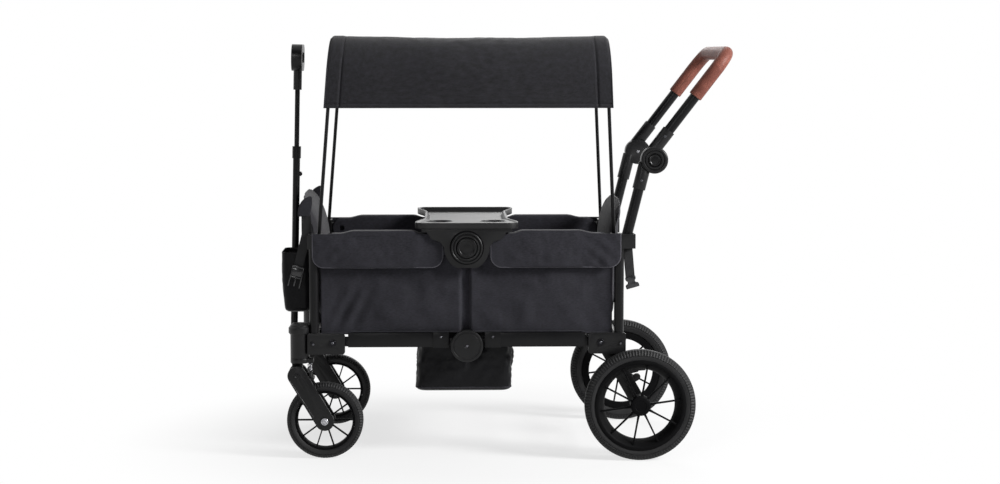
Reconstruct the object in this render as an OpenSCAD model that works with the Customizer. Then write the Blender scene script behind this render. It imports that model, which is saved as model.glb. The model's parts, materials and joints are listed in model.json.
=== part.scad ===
// Folding stroller wagon, in millimetres.
// X runs from the pull handle (negative) to the push handle (positive), Y from left to right, Z up.
// The modules are drawn about the fold centre; place() then sets the origin on the ground mid-length.

/* [Fold linkage] */
// Distance of the bracket pivots from the fold centre
pivot_x = 357; // [340:1:380]
// Height of the lower bracket pivots above the ground
lower_pivot_z = 312; // [305:1:322]
// How far the hub pivots sit below the bracket pivots
hub_drop = 8; // [6:1:10]
// Height of the upper pivots above the lower pivots
side_rise = 263; // [250:1:280]
// Half distance between the left and right side rails
rail_y = 260; // [250:1:280]
// Radius of the linkage pins
pin_r = 6; // [5:0.5:7]
// Running clearance around pins, axles and buttons
run_gap = 0.06; // [0.02:0.01:0.1]
// Clearance between fixed pieces that nest
fit_gap = 0.1; // [0.05:0.05:0.3]
// Clearance of soft pieces from their neighbours
soft_gap = 0.4; // [0.3:0.1:1]

/* [Rails and posts] */
// Height of a side rail tube
rail_h = 38; // [32:1:42]
// Width of a side rail tube
rail_w = 20; // [16:1:24]
// Wall of the rail tubes
rail_wall = 2; // [1.5:0.5:3]
// Height of the rail centre above its bracket pivot
rail_lift = 6.5; // [5:0.5:8]
// Radius of the corner posts
post_r = 13; // [10:0.5:15]
// Distance from a bracket pivot out to its corner post
post_setback = 49; // [46:1:56]
// Radius of the cross tubes
cross_r = 11; // [8:0.5:12]

/* [Rear wheels] */
// Radius of a rear wheel
rear_wheel_r = 148; // [132:1:152]
// Width of a rear tyre
rear_tyre_w = 44; // [36:1:50]
// Distance of the rear axle behind the rear pivots
rear_axle_back = 103; // [95:1:115]
// Radius of the rear axle
rear_axle_r = 7.5; // [6:0.5:9]
// Width of the rear wheel arm plate
arm_t = 18; // [14:1:22]

/* [Front casters] */
// Radius of a front wheel
front_wheel_r = 102; // [92:1:104]
// Width of a front tyre
front_tyre_w = 40; // [32:1:40]
// Distance of the swivel axis ahead of the front posts
swivel_ahead = 39; // [38:1:46]
// Trail of the front axle behind the swivel axis
caster_trail = 66; // [60:1:72]
// Half distance between the caster swivel axes
caster_y = 252; // [244:1:262]
// Height of the suspension pivot above the front axle
caster_pivot_rise = 123; // [120:1:130]
// Radius of the front axle bolt
caster_bolt_r = 5; // [4:0.5:6]
// Radius of the swivel stem
stem_r = 10; // [8:0.5:12]
// Number of spokes in each wheel
spokes = 10; // [6:1:14]

/* [Push handle] */
// Half distance between the push handle tubes
handle_y = 238; // [236:1:240]
// Radius of the push handle tubes
handle_r = 14; // [12:0.5:14.5]
// Lean of the lower handle tubes from upright
handle_lower_lean = 14; // [12:1:16]
// Lean of the upper handle tube from upright
handle_upper_lean = 37.5; // [34:0.5:42]
// Height of the handle angle hubs
handle_hub_z = 796; // [770:1:830]
// Length of the upper handle from hub to crossbar
handle_reach = 357; // [330:1:390]
// Radius of the handle grip
grip_r = 18.5; // [17:0.5:20]

/* [Pull handle] */
// Distance of the pull handle pivot ahead of the front posts
pull_ahead = 73; // [70:1:80]
// Radius of the outer pull tube
pull_outer_r = 9.75; // [8.5:0.25:11]
// Radius of the inner pull tube
pull_inner_r = 6.75; // [5.5:0.25:7.5]
// Length from the top of the outer pull tube to the top of the grip, drawn out
pull_shown = 281; // [280:1:330]
// Height of the top of the pull grip
pull_top_z = 1104; // [1060:1:1120]
// Backward lean of the pull handle when parked
pull_lean = 1.3; // [0:0.1:2]

/* [Canopy] */
// Height of the canopy top
canopy_top_z = 1126; // [1090:1:1150]
// Depth of the canopy from its top to its hem
canopy_deep = 192; // [160:1:220]
// Radius of the hoop rods
hoop_r = 4.75; // [4:0.25:6]
// Half width between the hoop legs
hoop_y = 232; // [228:1:236]
// Radius of the hoop corners
hoop_bend = 105; // [80:5:120]
// Lean of the front hoop towards the middle
front_hoop_lean = 4.5; // [2:0.5:6]
// Lean of the rear hoop towards the middle
rear_hoop_lean = 2.5; // [1:0.5:5]
// Sag of the canopy between the hoops
canopy_sag = 6; // [3:1:10]

/* [Tray and hubs] */
// Length of the tray along the wagon
tray_l = 275; // [260:1:290]
// Radius of the round button face on each upper hub
hub_button_r = 27; // [22:1:30]
// Radius of the ring around each hub button
hub_ring_r = 42; // [38:1:46]
// Travel of the hub buttons
hub_travel = 4; // [2:0.5:5]
// Radius of the tray cup recesses
cup_r = 33; // [28:1:35]
// Depth of the tray cup recesses
cup_depth = 24; // [15:1:30]

/* [Cabin] */
// Thickness of the floor boards
board_t = 13; // [10:1:18]
// Half length of the open footwell between the boards
well_half = 125; // [110:1:140]
// Height of the footwell bottom above the ground
well_bottom_z = 173; // [150:1:220]
// Height of the top of the front seat back
front_back_z = 703; // [680:1:730]
// Height of the top of the rear seat back
rear_back_z = 686; // [670:1:720]
// Half width of the seat backs
back_y = 214; // [200:1:216]

/* [Hidden] */
$fn = 64;

// Colours
black = "#1b1b1d";
cloth = "#2a2930";
grey = "#4a494e";
leather = "#6e3f36";
steel = "#b8b8ba";

// Heights of the linkage
lower_hub_z = lower_pivot_z - hub_drop;
upper_pivot_z = lower_pivot_z + side_rise;
upper_hub_z = upper_pivot_z - hub_drop;
rail_z = lower_pivot_z + rail_lift;
rail_top = rail_z + rail_h / 2;

// Linkage lugs and ears
link_shy = 0.05;
lug_r = 18;
ear_r = 25;
ear_gap = 0.3;
hub_clear = 48;
bracket_clear = 41;
pin_hole_r = pin_r + run_gap;
pin_head_r = pin_r + 3;
pin_head_t = 3;
rail_in = rail_y - rail_w / 2;
rail_out = rail_y + rail_w / 2;

// Corner posts and brackets
post_x = pivot_x + post_setback;
block_x0 = pivot_x + ear_r + 3;
block_y0 = rail_in - 6;
block_y1 = rail_out + 6;
block_z0 = lower_pivot_z - 31;
block_z1 = lower_pivot_z + 21;
plate_x0 = pivot_x - 33;
plate_x1 = post_x + post_r + 5;
plate_z1 = rail_top;
post_foot_z = block_z0 + 19;
cross_x = post_x + 6;
cross_z = lower_pivot_z - 12;
back_cross_z = lower_pivot_z + 98;
back_cross_r = cross_r - 2;
top_block_z0 = upper_pivot_z - 13;
top_block_z1 = upper_pivot_z + ear_r;
screw_r = 4.5;
screw_t = 2;

// Side cloth
wall_t = 4;
wall_y0 = rail_y - wall_t / 2;
flap_t = 3.5;
flap_y0 = block_y1 + 1;
flap_y1 = flap_y0 + flap_t;
flap_drop = 61;
flap_corner = 30;
flap_start = 64;

// Rear wheels
rear_axle_x = pivot_x + rear_axle_back;
rear_axle_z = rear_wheel_r;
arm_y1 = block_y0 - fit_gap;
arm_y0 = arm_y1 - arm_t;
arm_r = 20;
arm_top_x = pivot_x + 15;
arm_top_z = lower_pivot_z - 12;
arm_boss_y = block_y1 + pin_head_t;
rear_wheel_y = arm_boss_y + 2 + rear_tyre_w / 2;
rear_tyre_in = rear_wheel_r - 34;
rear_rim_in = rear_tyre_in - 20;
rear_hub_r = 27;
rear_hub_y0 = arm_boss_y + ear_gap;
rear_cap_y = rear_wheel_y + rear_tyre_w / 2 + 6;
axle_end_y = rear_cap_y - 7;
brake_share = 0.70;
brake_x = arm_top_x + brake_share * (rear_axle_x - arm_top_x);
brake_z = arm_top_z + brake_share * (rear_axle_z - arm_top_z);
brake_r = 6;

// Front casters
swivel_x = -(post_x + swivel_ahead);
front_axle_x = swivel_x + caster_trail;
front_axle_z = front_wheel_r;
caster_pivot_x = swivel_x - 7;
caster_pivot_z = front_axle_z + caster_pivot_rise;
caster_dx = front_axle_x - caster_pivot_x;
caster_len = sqrt(caster_dx * caster_dx + caster_pivot_rise * caster_pivot_rise);
caster_turn = atan2(caster_pivot_rise, caster_dx);
head_z1 = caster_pivot_z + 44.7;
head_z0 = head_z1 - 13;
housing_r = 25.5;
housing_z0 = head_z1 + ear_gap;
housing_z1 = housing_z0 + 88;
cap_r = 30;
front_cross_x = post_x + swivel_ahead - housing_r - cross_r - 0.5;
stem_top = housing_z1 - 22;
lug_half = 12;
leg_in = front_tyre_w / 2 + 1.5;
leg_out = leg_in + 9.5;
front_tyre_in = front_wheel_r - 23;
front_rim_in = front_tyre_in - 6;
tyre_edge = 9;
spring_x = swivel_x + 26;
spring_z0 = caster_pivot_z + 6;
spring_r = 6;
spring_wire = 0.95;
spring_turns = 5;

// Push handle
hub_disc_r = 36;
hub_half = 16;
lower_dir = [sin(handle_lower_lean), 0, cos(handle_lower_lean)];
tube_foot_x = post_x + 20;
tube_foot_z = top_block_z1 - 15;
tube_run = (handle_hub_z - tube_foot_z) / cos(handle_lower_lean);
meet_x = tube_foot_x + tube_run * lower_dir[0];
hub_offset = 21.5;
handle_hub_x = meet_x + hub_offset;
socket_r = handle_r + 3.5;
socket_len = 46;
handle_bend = 55;
lower_skip = 34;
upper_skip = 53;
grip_leg = 145;
hub_pivot_r = 8;
hub_pivot_l = 3;
handle_button_r = 16;
handle_travel = 4;
handle_wall = 1.5;

// Hoops and canopy
hoop_foot_z = top_block_z1 - 24;
hoop_foot_x = post_x - 11;
canopy_t = 3;
canopy_hem_z = canopy_top_z - canopy_deep;
canopy_overhang = 10;
canopy_corner_step = 18;
canopy_room = soft_gap + hoop_bend * (1 - cos(canopy_corner_step / 2));
hoop_top_z = canopy_top_z - canopy_t - canopy_room - hoop_r;
hoop_rise = hoop_top_z - hoop_foot_z;

// Hub plates and tray
hub_plate_y0 = flap_y1 + 1.5;
hub_plate_y1 = hub_plate_y0 + 8;
hub_face_y = hub_plate_y1 + 6;
hub_boss_r = 50;
shelf_z0 = upper_pivot_z + 33;
shelf_z1 = shelf_z0 + 8;
shelf_half = 120;
tray_z0 = shelf_z1 + ear_gap;
tray_t = 5;
tray_rim = 16;
tray_y = hub_plate_y1 - 3;
cup_x = 72;
cup_y = hoop_y - cup_r - 6;

// Seat backs stand on a line that leans outwards
back_bottom_z = lower_pivot_z + 50;
back_foot_x = pivot_x + 31;
back_edge = 5;
back_swell = 5;
front_back_lean = 32;
rear_back_lean = 16;
pouch_deep = 76;
pouch_w = 140;
pouch_h = 164;
pouch_below = 24;
strap_ahead = 22;
strap_behind = 31;
front_strap_l = 95;
rear_strap_l = 88;
front_strap_lean = 14;
rear_strap_lean = 6;
sleeve_z = top_block_z1 + 45;

// Pull handle
pull_x = -(post_x + pull_ahead);
pull_z = lower_pivot_z - 2;
pull_pin_r = 5;
pull_base_r = 15;
yoke_in = 13;
yoke_t = 5;
pull_outer_l = pull_top_z - pull_shown - pull_z;
pull_foot = 20;
collar_r = pull_outer_r + 2.25;
collar_l = 33;
lock_r = 4;
lock_z = pull_outer_l - 76;
grip_w = 41;
grip_h = 73;
neck_l = 52;
neck_r = 11.5;
neck_socket = 20;
pull_grip_z = pull_top_z - pull_z - grip_h;
inner_tail = 190;
inner_start = pull_outer_l - inner_tail;
inner_l = pull_grip_z - neck_l + neck_socket - inner_start;

// The finished length runs from the pull side to the grip; the origin sits midway
rear_reach = handle_hub_x - hub_offset + handle_reach * sin(handle_upper_lean) + grip_r;
front_reach = -(pull_x - pull_base_r - 6);
fold_x = -(rear_reach - front_reach) / 2;

module place() {
    translate([fold_x, 0, 0]) children();
}

// A piece and its mirror image across the middle of the wagon
module both_sides() {
    children();
    mirror([0, 1, 0]) children();
}

// Turn a rear piece into a front piece
module to_front() {
    mirror([1, 0, 0]) children();
}

// Outline in X and Z pushed out along Y from y0 to y1
module slab(y0, y1) {
    translate([0, y1, 0]) rotate([90, 0, 0]) linear_extrude(y1 - y0) children();
}

// Round bar along Y
module bar_y(x, z, r, y0, y1) {
    translate([x, y0, z]) rotate([-90, 0, 0]) cylinder(r = r, h = y1 - y0);
}

// Rectangle with round corners, made of true arcs
module round_rect(w, h, r) {
    square([w - 2 * r, h], center = true);
    square([w, h - 2 * r], center = true);
    for (sx = [-1, 1], sy = [-1, 1])
        translate([sx * (w / 2 - r), sy * (h / 2 - r)]) circle(r);
}

// Link outline with round ends; the flat sides stay a hair inside the arcs so that they cross cleanly
module link(x0, z0, x1, z1, r) {
    half = r - link_shy;
    run = sqrt((x1 - x0) * (x1 - x0) + (z1 - z0) * (z1 - z0));
    translate([x0, z0]) circle(r);
    translate([x1, z1]) circle(r);
    translate([x0, z0]) rotate(atan2(z1 - z0, x1 - x0)) translate([0, -half]) square([run, 2 * half]);
}

// Inverted U along Z: two legs, two round corners and a crossbar
module arch(half, start, rise, bend, r) {
    both_sides() {
        translate([0, half, start]) cylinder(r = r, h = rise - bend - start);
        translate([0, half - bend, rise - bend]) rotate([90, 0, 90])
            rotate_extrude(angle = 90) translate([bend, 0]) circle(r);
    }
    bar_y(0, rise, r, -(half - bend), half - bend);
}

// Flat lug that carries a pin hole and runs into a rail
module tongue(x, z, x_in, below, above) {
    translate([x, z]) circle(lug_r);
    translate([min(x, x_in), z - below]) square([abs(x_in - x), below + above]);
}

// A pair of rear side rails; lap_in puts the hub lug on the inner layer
module side_rails(pivot_z, lap_in) {
    hub_z = pivot_z - hub_drop;
    z0 = pivot_z + rail_lift - rail_h / 2;
    x0 = hub_clear;
    x1 = pivot_x - bracket_clear;
    lap_y0 = lap_in ? rail_in + ear_gap : rail_y + ear_gap;
    lap_y1 = lap_in ? rail_y - ear_gap : rail_out - ear_gap;
    both_sides() difference() {
        union() {
            difference() {
                translate([x0, rail_in, z0]) cube([x1 - x0, rail_w, rail_h]);
                translate([x0 - 1, rail_in + rail_wall, z0 + rail_wall])
                    cube([x1 - x0 + 2, rail_w - 2 * rail_wall, rail_h - 2 * rail_wall]);
            }
            slab(lap_y0, lap_y1) tongue(0, hub_z, x0 + 15, 2, 16);
            slab(rail_in + ear_gap, rail_out - ear_gap) tongue(pivot_x, pivot_z, x1 - 15, 10, 14);
        }
        bar_y(0, hub_z, pin_hole_r, rail_in, rail_out);
        bar_y(pivot_x, pivot_z, pin_hole_r, rail_in, rail_out);
    }
}

// Moulded end sleeves on the lower rails beside the hub
module rail_sleeves() {
    sleeve_l = 42;
    sleeve_t = 1.6;
    in_w = rail_w + 2 * fit_gap;
    in_h = rail_h + 2 * fit_gap;
    both_sides() translate([hub_clear, rail_y, rail_z]) rotate([0, 90, 0]) difference() {
        linear_extrude(sleeve_l) square([in_h + 2 * sleeve_t, in_w + 2 * sleeve_t], center = true);
        translate([0, 0, -1]) linear_extrude(sleeve_l + 2) square([in_h, in_w], center = true);
    }
}

// Padded boards that rest on the lower rails
module floor_board() {
    board_end = pivot_x - 12;
    half = wall_y0 - 2 * soft_gap;
    translate([well_half, -half, rail_top]) cube([board_end - well_half, 2 * half, board_t]);
}

// Rear corner: ears for the rail pivot and a block around the post foot
module corner_block() {
    difference() {
        union() {
            translate([block_x0, block_y0, block_z0])
                cube([plate_x1 - block_x0, block_y1 - block_y0, block_z1 - block_z0]);
            ears(lower_pivot_z, block_x0 + 2);
            slab(rail_out + ear_gap, block_y1)
                translate([(plate_x0 + plate_x1) / 2, (block_z0 + plate_z1) / 2])
                    round_rect(plate_x1 - plate_x0, plate_z1 - block_z0, 8);
        }
        translate([post_x, rail_y, post_foot_z]) cylinder(r = post_r + fit_gap, h = rail_h * 2);
        bar_y(pivot_x, lower_pivot_z, pin_hole_r, block_y0 - 1, block_y1 + 1);
        bar_y(post_x + 6, lower_pivot_z, screw_r / 2 + fit_gap, block_y1 - 3, block_y1 + 1);
    }
}

// The two ears that hold a rail lug
module ears(pivot_z, x_in) {
    for (y = [[block_y0, rail_in - ear_gap], [rail_out + ear_gap, block_y1]])
        slab(y[0], y[1]) {
            translate([pivot_x, pivot_z]) circle(ear_r);
            translate([pivot_x, pivot_z - 13]) square([x_in - pivot_x, 13 + ear_r - 9]);
        }
}

// Upper corner: ears, post collar, hoop socket and, at the rear, the handle socket
module top_block(x_out, with_handle) {
    difference() {
        union() {
            translate([block_x0, hoop_y - 10, top_block_z0])
                cube([x_out - block_x0, block_y1 - hoop_y + 10, top_block_z1 - top_block_z0]);
            ears(upper_pivot_z, block_x0 + 2);
        }
        translate([post_x, rail_y, top_block_z0 - 1]) cylinder(r = post_r + fit_gap, h = rail_h * 2);
        hoop_place(with_handle ? rear_hoop_lean : front_hoop_lean)
            translate([0, hoop_y, 0]) cylinder(r = hoop_r + fit_gap, h = rail_h);
        bar_y(pivot_x, upper_pivot_z, pin_hole_r, block_y0 - 1, block_y1 + 1);
        if (with_handle)
            translate([tube_foot_x, handle_y, tube_foot_z]) rotate([0, handle_lower_lean, 0])
                cylinder(r = handle_r + fit_gap, h = rail_h);
    }
}

// Foot of a hoop, leaning towards the middle
module hoop_place(lean) {
    translate([hoop_foot_x, 0, hoop_foot_z]) rotate([0, -lean, 0]) children();
}

// Pin through a pair of ears, with a head at one end
module pivot_pin(z, head_y0) {
    bar_y(pivot_x, z, pin_r, block_y0, block_y1);
    bar_y(pivot_x, z, pin_head_r, head_y0, head_y0 + pin_head_t);
}

module corner_fasteners() {
    both_sides() {
        pivot_pin(lower_pivot_z, block_y1);
        pivot_pin(upper_pivot_z, block_y0 - pin_head_t);
        bar_y(post_x + 6, lower_pivot_z, screw_r, block_y1, block_y1 + screw_t);
        bar_y(post_x + 6, lower_pivot_z, screw_r / 2, block_y1 - 3 + fit_gap, block_y1);
    }
}

// Corner posts and the two cross tubes of one end
module end_tubes(low_cross_x, back_cross_x) {
    both_sides() difference() {
        translate([post_x, rail_y, post_foot_z]) cylinder(r = post_r, h = top_block_z1 - post_foot_z);
        translate([post_x, rail_y, post_foot_z - 1])
            cylinder(r = post_r - rail_wall, h = top_block_z1 - post_foot_z + 2);
    }
    bar_y(low_cross_x, cross_z, cross_r, -block_y0, block_y0);
    bar_y(back_cross_x, back_cross_z, back_cross_r, -rail_y, rail_y);
}

// The rear face of a seat back swells by the crown
function back_bulge(u, v) = (1 - pow(abs(u), 4)) * (1 - pow(abs(v), 4));
function back_share(z, top_z) = (z - back_bottom_z) / (top_z - back_bottom_z);
function back_cross_at(top_z, lean) = let (t = back_share(back_cross_z, top_z))
    back_foot_x + t * lean + back_edge + back_swell * back_bulge(0, 2 * t - 1) + soft_gap + back_cross_r;

// Crowned seat back: bulges towards the cabin, thins to its top and draws in along its sides
module seat_back(top_z, lean) {
    n = 12;
    h = top_z - back_bottom_z;
    thick = [for (i = [0:n]) 30 - 20 * i / n];
    function side(u, v, s) = let (
        t = (v + 1) / 2,
        half = back_edge + (s > 0 ? thick[round(t * n)] : back_swell) * back_bulge(u, v),
        x = back_foot_x + t * lean - s * half,
        up = max(v, 0),
        z = back_bottom_z + h * (t + 0.02 * (1 - u * u) * up) - 26 * pow(abs(u), 6) * up)
        [x, u * back_y * (1 - 0.03 * (1 - v * v)), z];
    rows = [for (s = [1, -1]) for (j = [0:n]) for (i = [0:n]) side(2 * i / n - 1, 2 * j / n - 1, s)];
    m = n + 1;
    front = [for (j = [0:n - 1]) for (i = [0:n - 1]) each [
        [j * m + i, j * m + i + 1, (j + 1) * m + i + 1],
        [j * m + i, (j + 1) * m + i + 1, (j + 1) * m + i]]];
    back = [for (f = front) [f[2] + m * m, f[1] + m * m, f[0] + m * m]];
    rim = concat([for (i = [0:n - 1]) i], [for (j = [0:n - 1]) j * m + n],
        [for (i = [n:-1:1]) n * m + i], [for (j = [n:-1:1]) j * m]);
    edge = [for (k = [0:len(rim) - 1]) let (a = rim[k], b = rim[(k + 1) % len(rim)]) each [
        [b, a, a + m * m], [b, a + m * m, b + m * m]]];
    polyhedron(rows, [for (f = concat(front, back, edge)) [f[2], f[1], f[0]]]);
}

// Rear frame
module rear_frame_tubes() color(black) place()
    end_tubes(cross_x, back_cross_at(rear_back_z, rear_back_lean));

module rear_corner_brackets() color(black) place() both_sides() corner_block();

module rear_wheel_arms() color(black) place() both_sides() difference() {
    union() {
        slab(arm_y0, arm_y1) link(arm_top_x, arm_top_z, rear_axle_x, rear_axle_z, arm_r);
        bar_y(rear_axle_x, rear_axle_z, 14, arm_y0, arm_boss_y);
    }
    bar_y(rear_axle_x, rear_axle_z, rear_axle_r + fit_gap, arm_y0 - 1, arm_boss_y + 1);
    bar_y(brake_x, brake_z, brake_r + run_gap, arm_y0 - 1, arm_y1 + 1);
}

module rear_axle() color(steel) place()
    bar_y(rear_axle_x, rear_axle_z, rear_axle_r, -axle_end_y, axle_end_y);

module rear_fasteners() color(steel) place() corner_fasteners();

module rear_top_brackets() color(black) place()
    both_sides() top_block(tube_foot_x + socket_r + 5, true);

module handle_lower_tubes() color(black) place() both_sides()
    translate([tube_foot_x, handle_y, tube_foot_z]) rotate([0, handle_lower_lean, 0]) difference() {
        cylinder(r = handle_r, h = tube_run - lower_skip);
        translate([0, 0, -1]) cylinder(r = handle_r - handle_wall, h = tube_run);
    }

// Tube socket that runs into one half of an angle hub
module hub_socket(lean, from, to, tube_from, tube_to) {
    translate([meet_x, handle_y, handle_hub_z]) rotate([0, lean, 0]) difference() {
        translate([0, 0, from]) cylinder(r = socket_r, h = to - from);
        translate([0, 0, tube_from]) cylinder(r = handle_r + fit_gap, h = tube_to - tube_from);
    }
}

module handle_hub_lowers() color(black) place() both_sides() {
    y_mid = handle_y - 0.15;
    difference() {
        union() {
            bar_y(handle_hub_x, handle_hub_z, hub_disc_r, handle_y - hub_half, y_mid);
            hub_socket(handle_lower_lean, -lower_skip - socket_len, -8,
                -lower_skip - socket_len - 1, -lower_skip);
        }
        bar_y(handle_hub_x, handle_hub_z, hub_disc_r + 1.5, y_mid, handle_y + 2 * hub_half);
    }
    bar_y(handle_hub_x, handle_hub_z, hub_pivot_r, y_mid - 1, handle_y + hub_pivot_l);
}

module handle_hub_uppers() color(black) place() both_sides() {
    y_mid = handle_y + 0.15;
    y_out = handle_y + hub_half;
    difference() {
        union() {
            bar_y(handle_hub_x, handle_hub_z, hub_disc_r, y_mid, y_out);
            hub_socket(handle_upper_lean, 12, upper_skip + socket_len,
                upper_skip, upper_skip + socket_len + 1);
        }
        bar_y(handle_hub_x, handle_hub_z, hub_disc_r + 1.5, handle_y - 2 * hub_half, y_mid);
        bar_y(handle_hub_x, handle_hub_z, hub_pivot_r + run_gap, y_mid - 1, handle_y + hub_pivot_l + ear_gap);
        bar_y(handle_hub_x, handle_hub_z, handle_button_r + run_gap, y_out - 9, y_out + hub_half);
    }
}

// Push button in the face of an angle hub
module handle_button() {
    back_y0 = handle_y + hub_half - 9 + handle_travel + 0.5;
    bar_y(handle_hub_x, handle_hub_z, handle_button_r, back_y0, back_y0 + 8);
}

module handle_button_left() color(black) place() mirror([0, 1, 0]) handle_button();

module handle_button_right() color(black) place() handle_button();

// Upper handle frame, drawn along its own lean
module handle_place() {
    translate([meet_x, 0, handle_hub_z]) rotate([0, handle_upper_lean, 0]) children();
}

module handle_upper_tube() color(black) place() handle_place() difference() {
    arch(handle_y, upper_skip, handle_reach, handle_bend, handle_r);
    arch(handle_y, upper_skip - 1, handle_reach, handle_bend, handle_r - handle_wall);
}

module handle_grip() color(leather) place() handle_place() difference() {
    arch(handle_y, handle_reach - grip_leg, handle_reach, handle_bend, grip_r);
    arch(handle_y, handle_reach - grip_leg - 1, handle_reach, handle_bend, handle_r + fit_gap);
}

module rear_seat_back() color(grey) place() seat_back(rear_back_z, rear_back_lean);

// Webbing strap with a side release buckle below it
module strap_and_buckle(x, z_top, l, y, lean) {
    translate([x, 0, z_top]) rotate([0, lean, 0]) {
        translate([-13, y - 1, -l]) cube([26, 2, l]);
        slab(y - 5, y + 5) difference() {
            translate([0, -l - 16]) round_rect(34, 32 - 2 * fit_gap, 6);
            translate([0, -l - 8]) square([20, 6], center = true);
        }
    }
}

// Padded sleeve on the part of a front strap that stands up beside the seat back
module strap_sleeve(x, z, y) {
    translate([x - 13, y - 1, z]) cube([26, 2, sleeve_z - z + 5]);
    slab(y - 5.5, y + 5.5) polygon([[x - 22, sleeve_z], [x + 8, sleeve_z], [x + 15, sleeve_z + 26],
        [x + 17, sleeve_z + 54], [x + 9, sleeve_z + 55], [x - 5, sleeve_z + 48], [x - 16, sleeve_z + 36],
        [x - 21, sleeve_z + 22]]);
}

module rear_straps() color(black) place() both_sides()
    strap_and_buckle(post_x + strap_behind, top_block_z0 - 13 * sin(rear_strap_lean) - fit_gap, rear_strap_l,
        rail_y - 10, -rear_strap_lean);

module leaning_hoop(lean) hoop_place(lean) arch(hoop_y, 0, hoop_rise / cos(lean), hoop_bend, hoop_r);

module rear_hoop() color(black) place() leaning_hoop(rear_hoop_lean);

// Canopy sheet over the two hoops, drawn in and sagging between them
module canopy_sheet() {
    nx = 12;
    na = 24;
    half = hoop_y + hoop_r + canopy_room;
    bend = hoop_bend + hoop_r + canopy_room;
    drop = canopy_top_z - canopy_t - canopy_hem_z;
    flat = half - bend;
    side_run = drop - bend;
    // Points along the arch by share: side, corner, top, corner, side
    function arch_point(k, grow) = let (
        c = k < 5 ? 0 : k < 11 ? (k - 5) * canopy_corner_step : k < 14 ? 90
            : k < 20 ? 90 + (k - 14) * canopy_corner_step : 180,
        y = k < 5 ? -half : k < 11 ? -flat - bend * cos(c) : k < 14 ? flat * (k - 12) / 2
            : k < 20 ? flat - bend * cos(c) : half,
        z = k < 5 ? side_run * k / 5 : k < 11 || (k > 13 && k < 20) ? side_run + bend * sin(c)
            : k < 14 ? drop : side_run * (24 - k) / 5)
        [y + grow * (k < 5 ? -1 : k > 19 ? 1 : -cos(c)), z + grow * (k < 5 || k > 19 ? 0 : sin(c))];
    function spot(i, k, grow) = let (
        s = 2 * i / nx - 1,
        p = arch_point(k, grow),
        dip = canopy_sag * max(0, 1 - pow(s / 0.92, 2)),
        high = p[1] / drop,
        lean = s < 0 ? front_hoop_lean : rear_hoop_lean,
        edge = hoop_foot_x - (canopy_hem_z + p[1] - hoop_foot_z) * tan(lean) + canopy_overhang)
        [s * edge, p[0] * (1 - 0.4 * dip / half), canopy_hem_z + p[1] - dip * high * high];
    m = na + 1;
    pts = [for (g = [0, canopy_t]) for (i = [0:nx]) for (k = [0:na]) spot(i, k, g)];
    lay = (nx + 1) * m;
    sheet = [for (i = [0:nx - 1]) for (k = [0:na - 1]) each [
        [i * m + k, i * m + k + 1, (i + 1) * m + k + 1],
        [i * m + k, (i + 1) * m + k + 1, (i + 1) * m + k]]];
    outer = [for (f = sheet) [f[2] + lay, f[1] + lay, f[0] + lay]];
    rim = concat([for (k = [0:na - 1]) k], [for (i = [0:nx - 1]) i * m + na],
        [for (k = [na:-1:1]) nx * m + k], [for (i = [nx:-1:1]) i * m]);
    edge = [for (k = [0:len(rim) - 1]) let (a = rim[k], b = rim[(k + 1) % len(rim)]) each [
        [b, a, a + lay], [b, a + lay, b + lay]]];
    polyhedron(pts, concat(sheet, outer, edge));
}

module canopy_cover() color(cloth) place() canopy_sheet();

module side_walls() color(cloth) place() {
    end = post_x - post_r - 5;
    z0 = rail_top + 2.5;
    both_sides() translate([-end, wall_y0, z0]) cube([2 * end, wall_t, upper_hub_z - lug_r - 4 - z0]);
}

// Cloth well below the open middle of the floor, hung from a flange under the boards
module cloth_well() {
    t = 3;
    half_y = rail_in - 15;
    top_z = rail_top - soft_gap;
    flange = 25;
    module profile(inset, z0) {
        polygon([[-well_half + 5 + inset, top_z + inset], [-well_half - 12 + inset, z0],
            [well_half - 5 - inset, z0], [well_half - 8 - inset, top_z + inset]]);
    }
    difference() {
        union() {
            slab(-half_y, half_y) profile(0, well_bottom_z);
            translate([-well_half - flange, -half_y, top_z - t])
                cube([2 * (well_half + flange), 2 * half_y, t]);
        }
        slab(-half_y + t, half_y - t) profile(t, well_bottom_z + t);
    }
}

module footwell() color(cloth) place() cloth_well();

// Lower rails
module rear_lower_rails() color(black) place() {
    side_rails(lower_pivot_z, false);
    rail_sleeves();
}

module rear_floor_board() color(cloth) place() floor_board();

module front_lower_rails() color(black) place() to_front() {
    side_rails(lower_pivot_z, true);
    rail_sleeves();
}

module front_floor_board() color(cloth) place() to_front() floor_board();

// Hub pin with an inner head, reaching from inside the rails out to y_out
module hub_pin(z, y_out) {
    bar_y(0, z, pin_r, rail_in - 1, y_out);
    bar_y(0, z, pin_head_r, rail_in - pin_head_t, rail_in);
}

// Round cap over the lower fold joint, one piece with its pin
module lower_hubs() color(black) place() both_sides() {
    cap_y0 = rail_out + ear_gap;
    cap_y1 = cap_y0 + 19;
    cap = hub_clear - 5;
    difference() {
        union() {
            bar_y(0, lower_hub_z, cap, cap_y0, cap_y1 - 5);
            translate([0, cap_y1 - 5, lower_hub_z]) rotate([-90, 0, 0])
                cylinder(r1 = cap, r2 = cap - 5, h = 5);
        }
        bar_y(0, lower_hub_z, cap - 12, cap_y1 - 3, cap_y1 + 1);
        bar_y(0, lower_hub_z, 5, cap_y1 - 8, cap_y1 + 1);
    }
    hub_pin(lower_hub_z, cap_y0 + 1);
}

// Upper rails and the padded covers folded over them
module rear_upper_rails() color(black) place() side_rails(upper_pivot_z, false);

module front_upper_rails() color(black) place() to_front() side_rails(upper_pivot_z, true);

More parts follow.
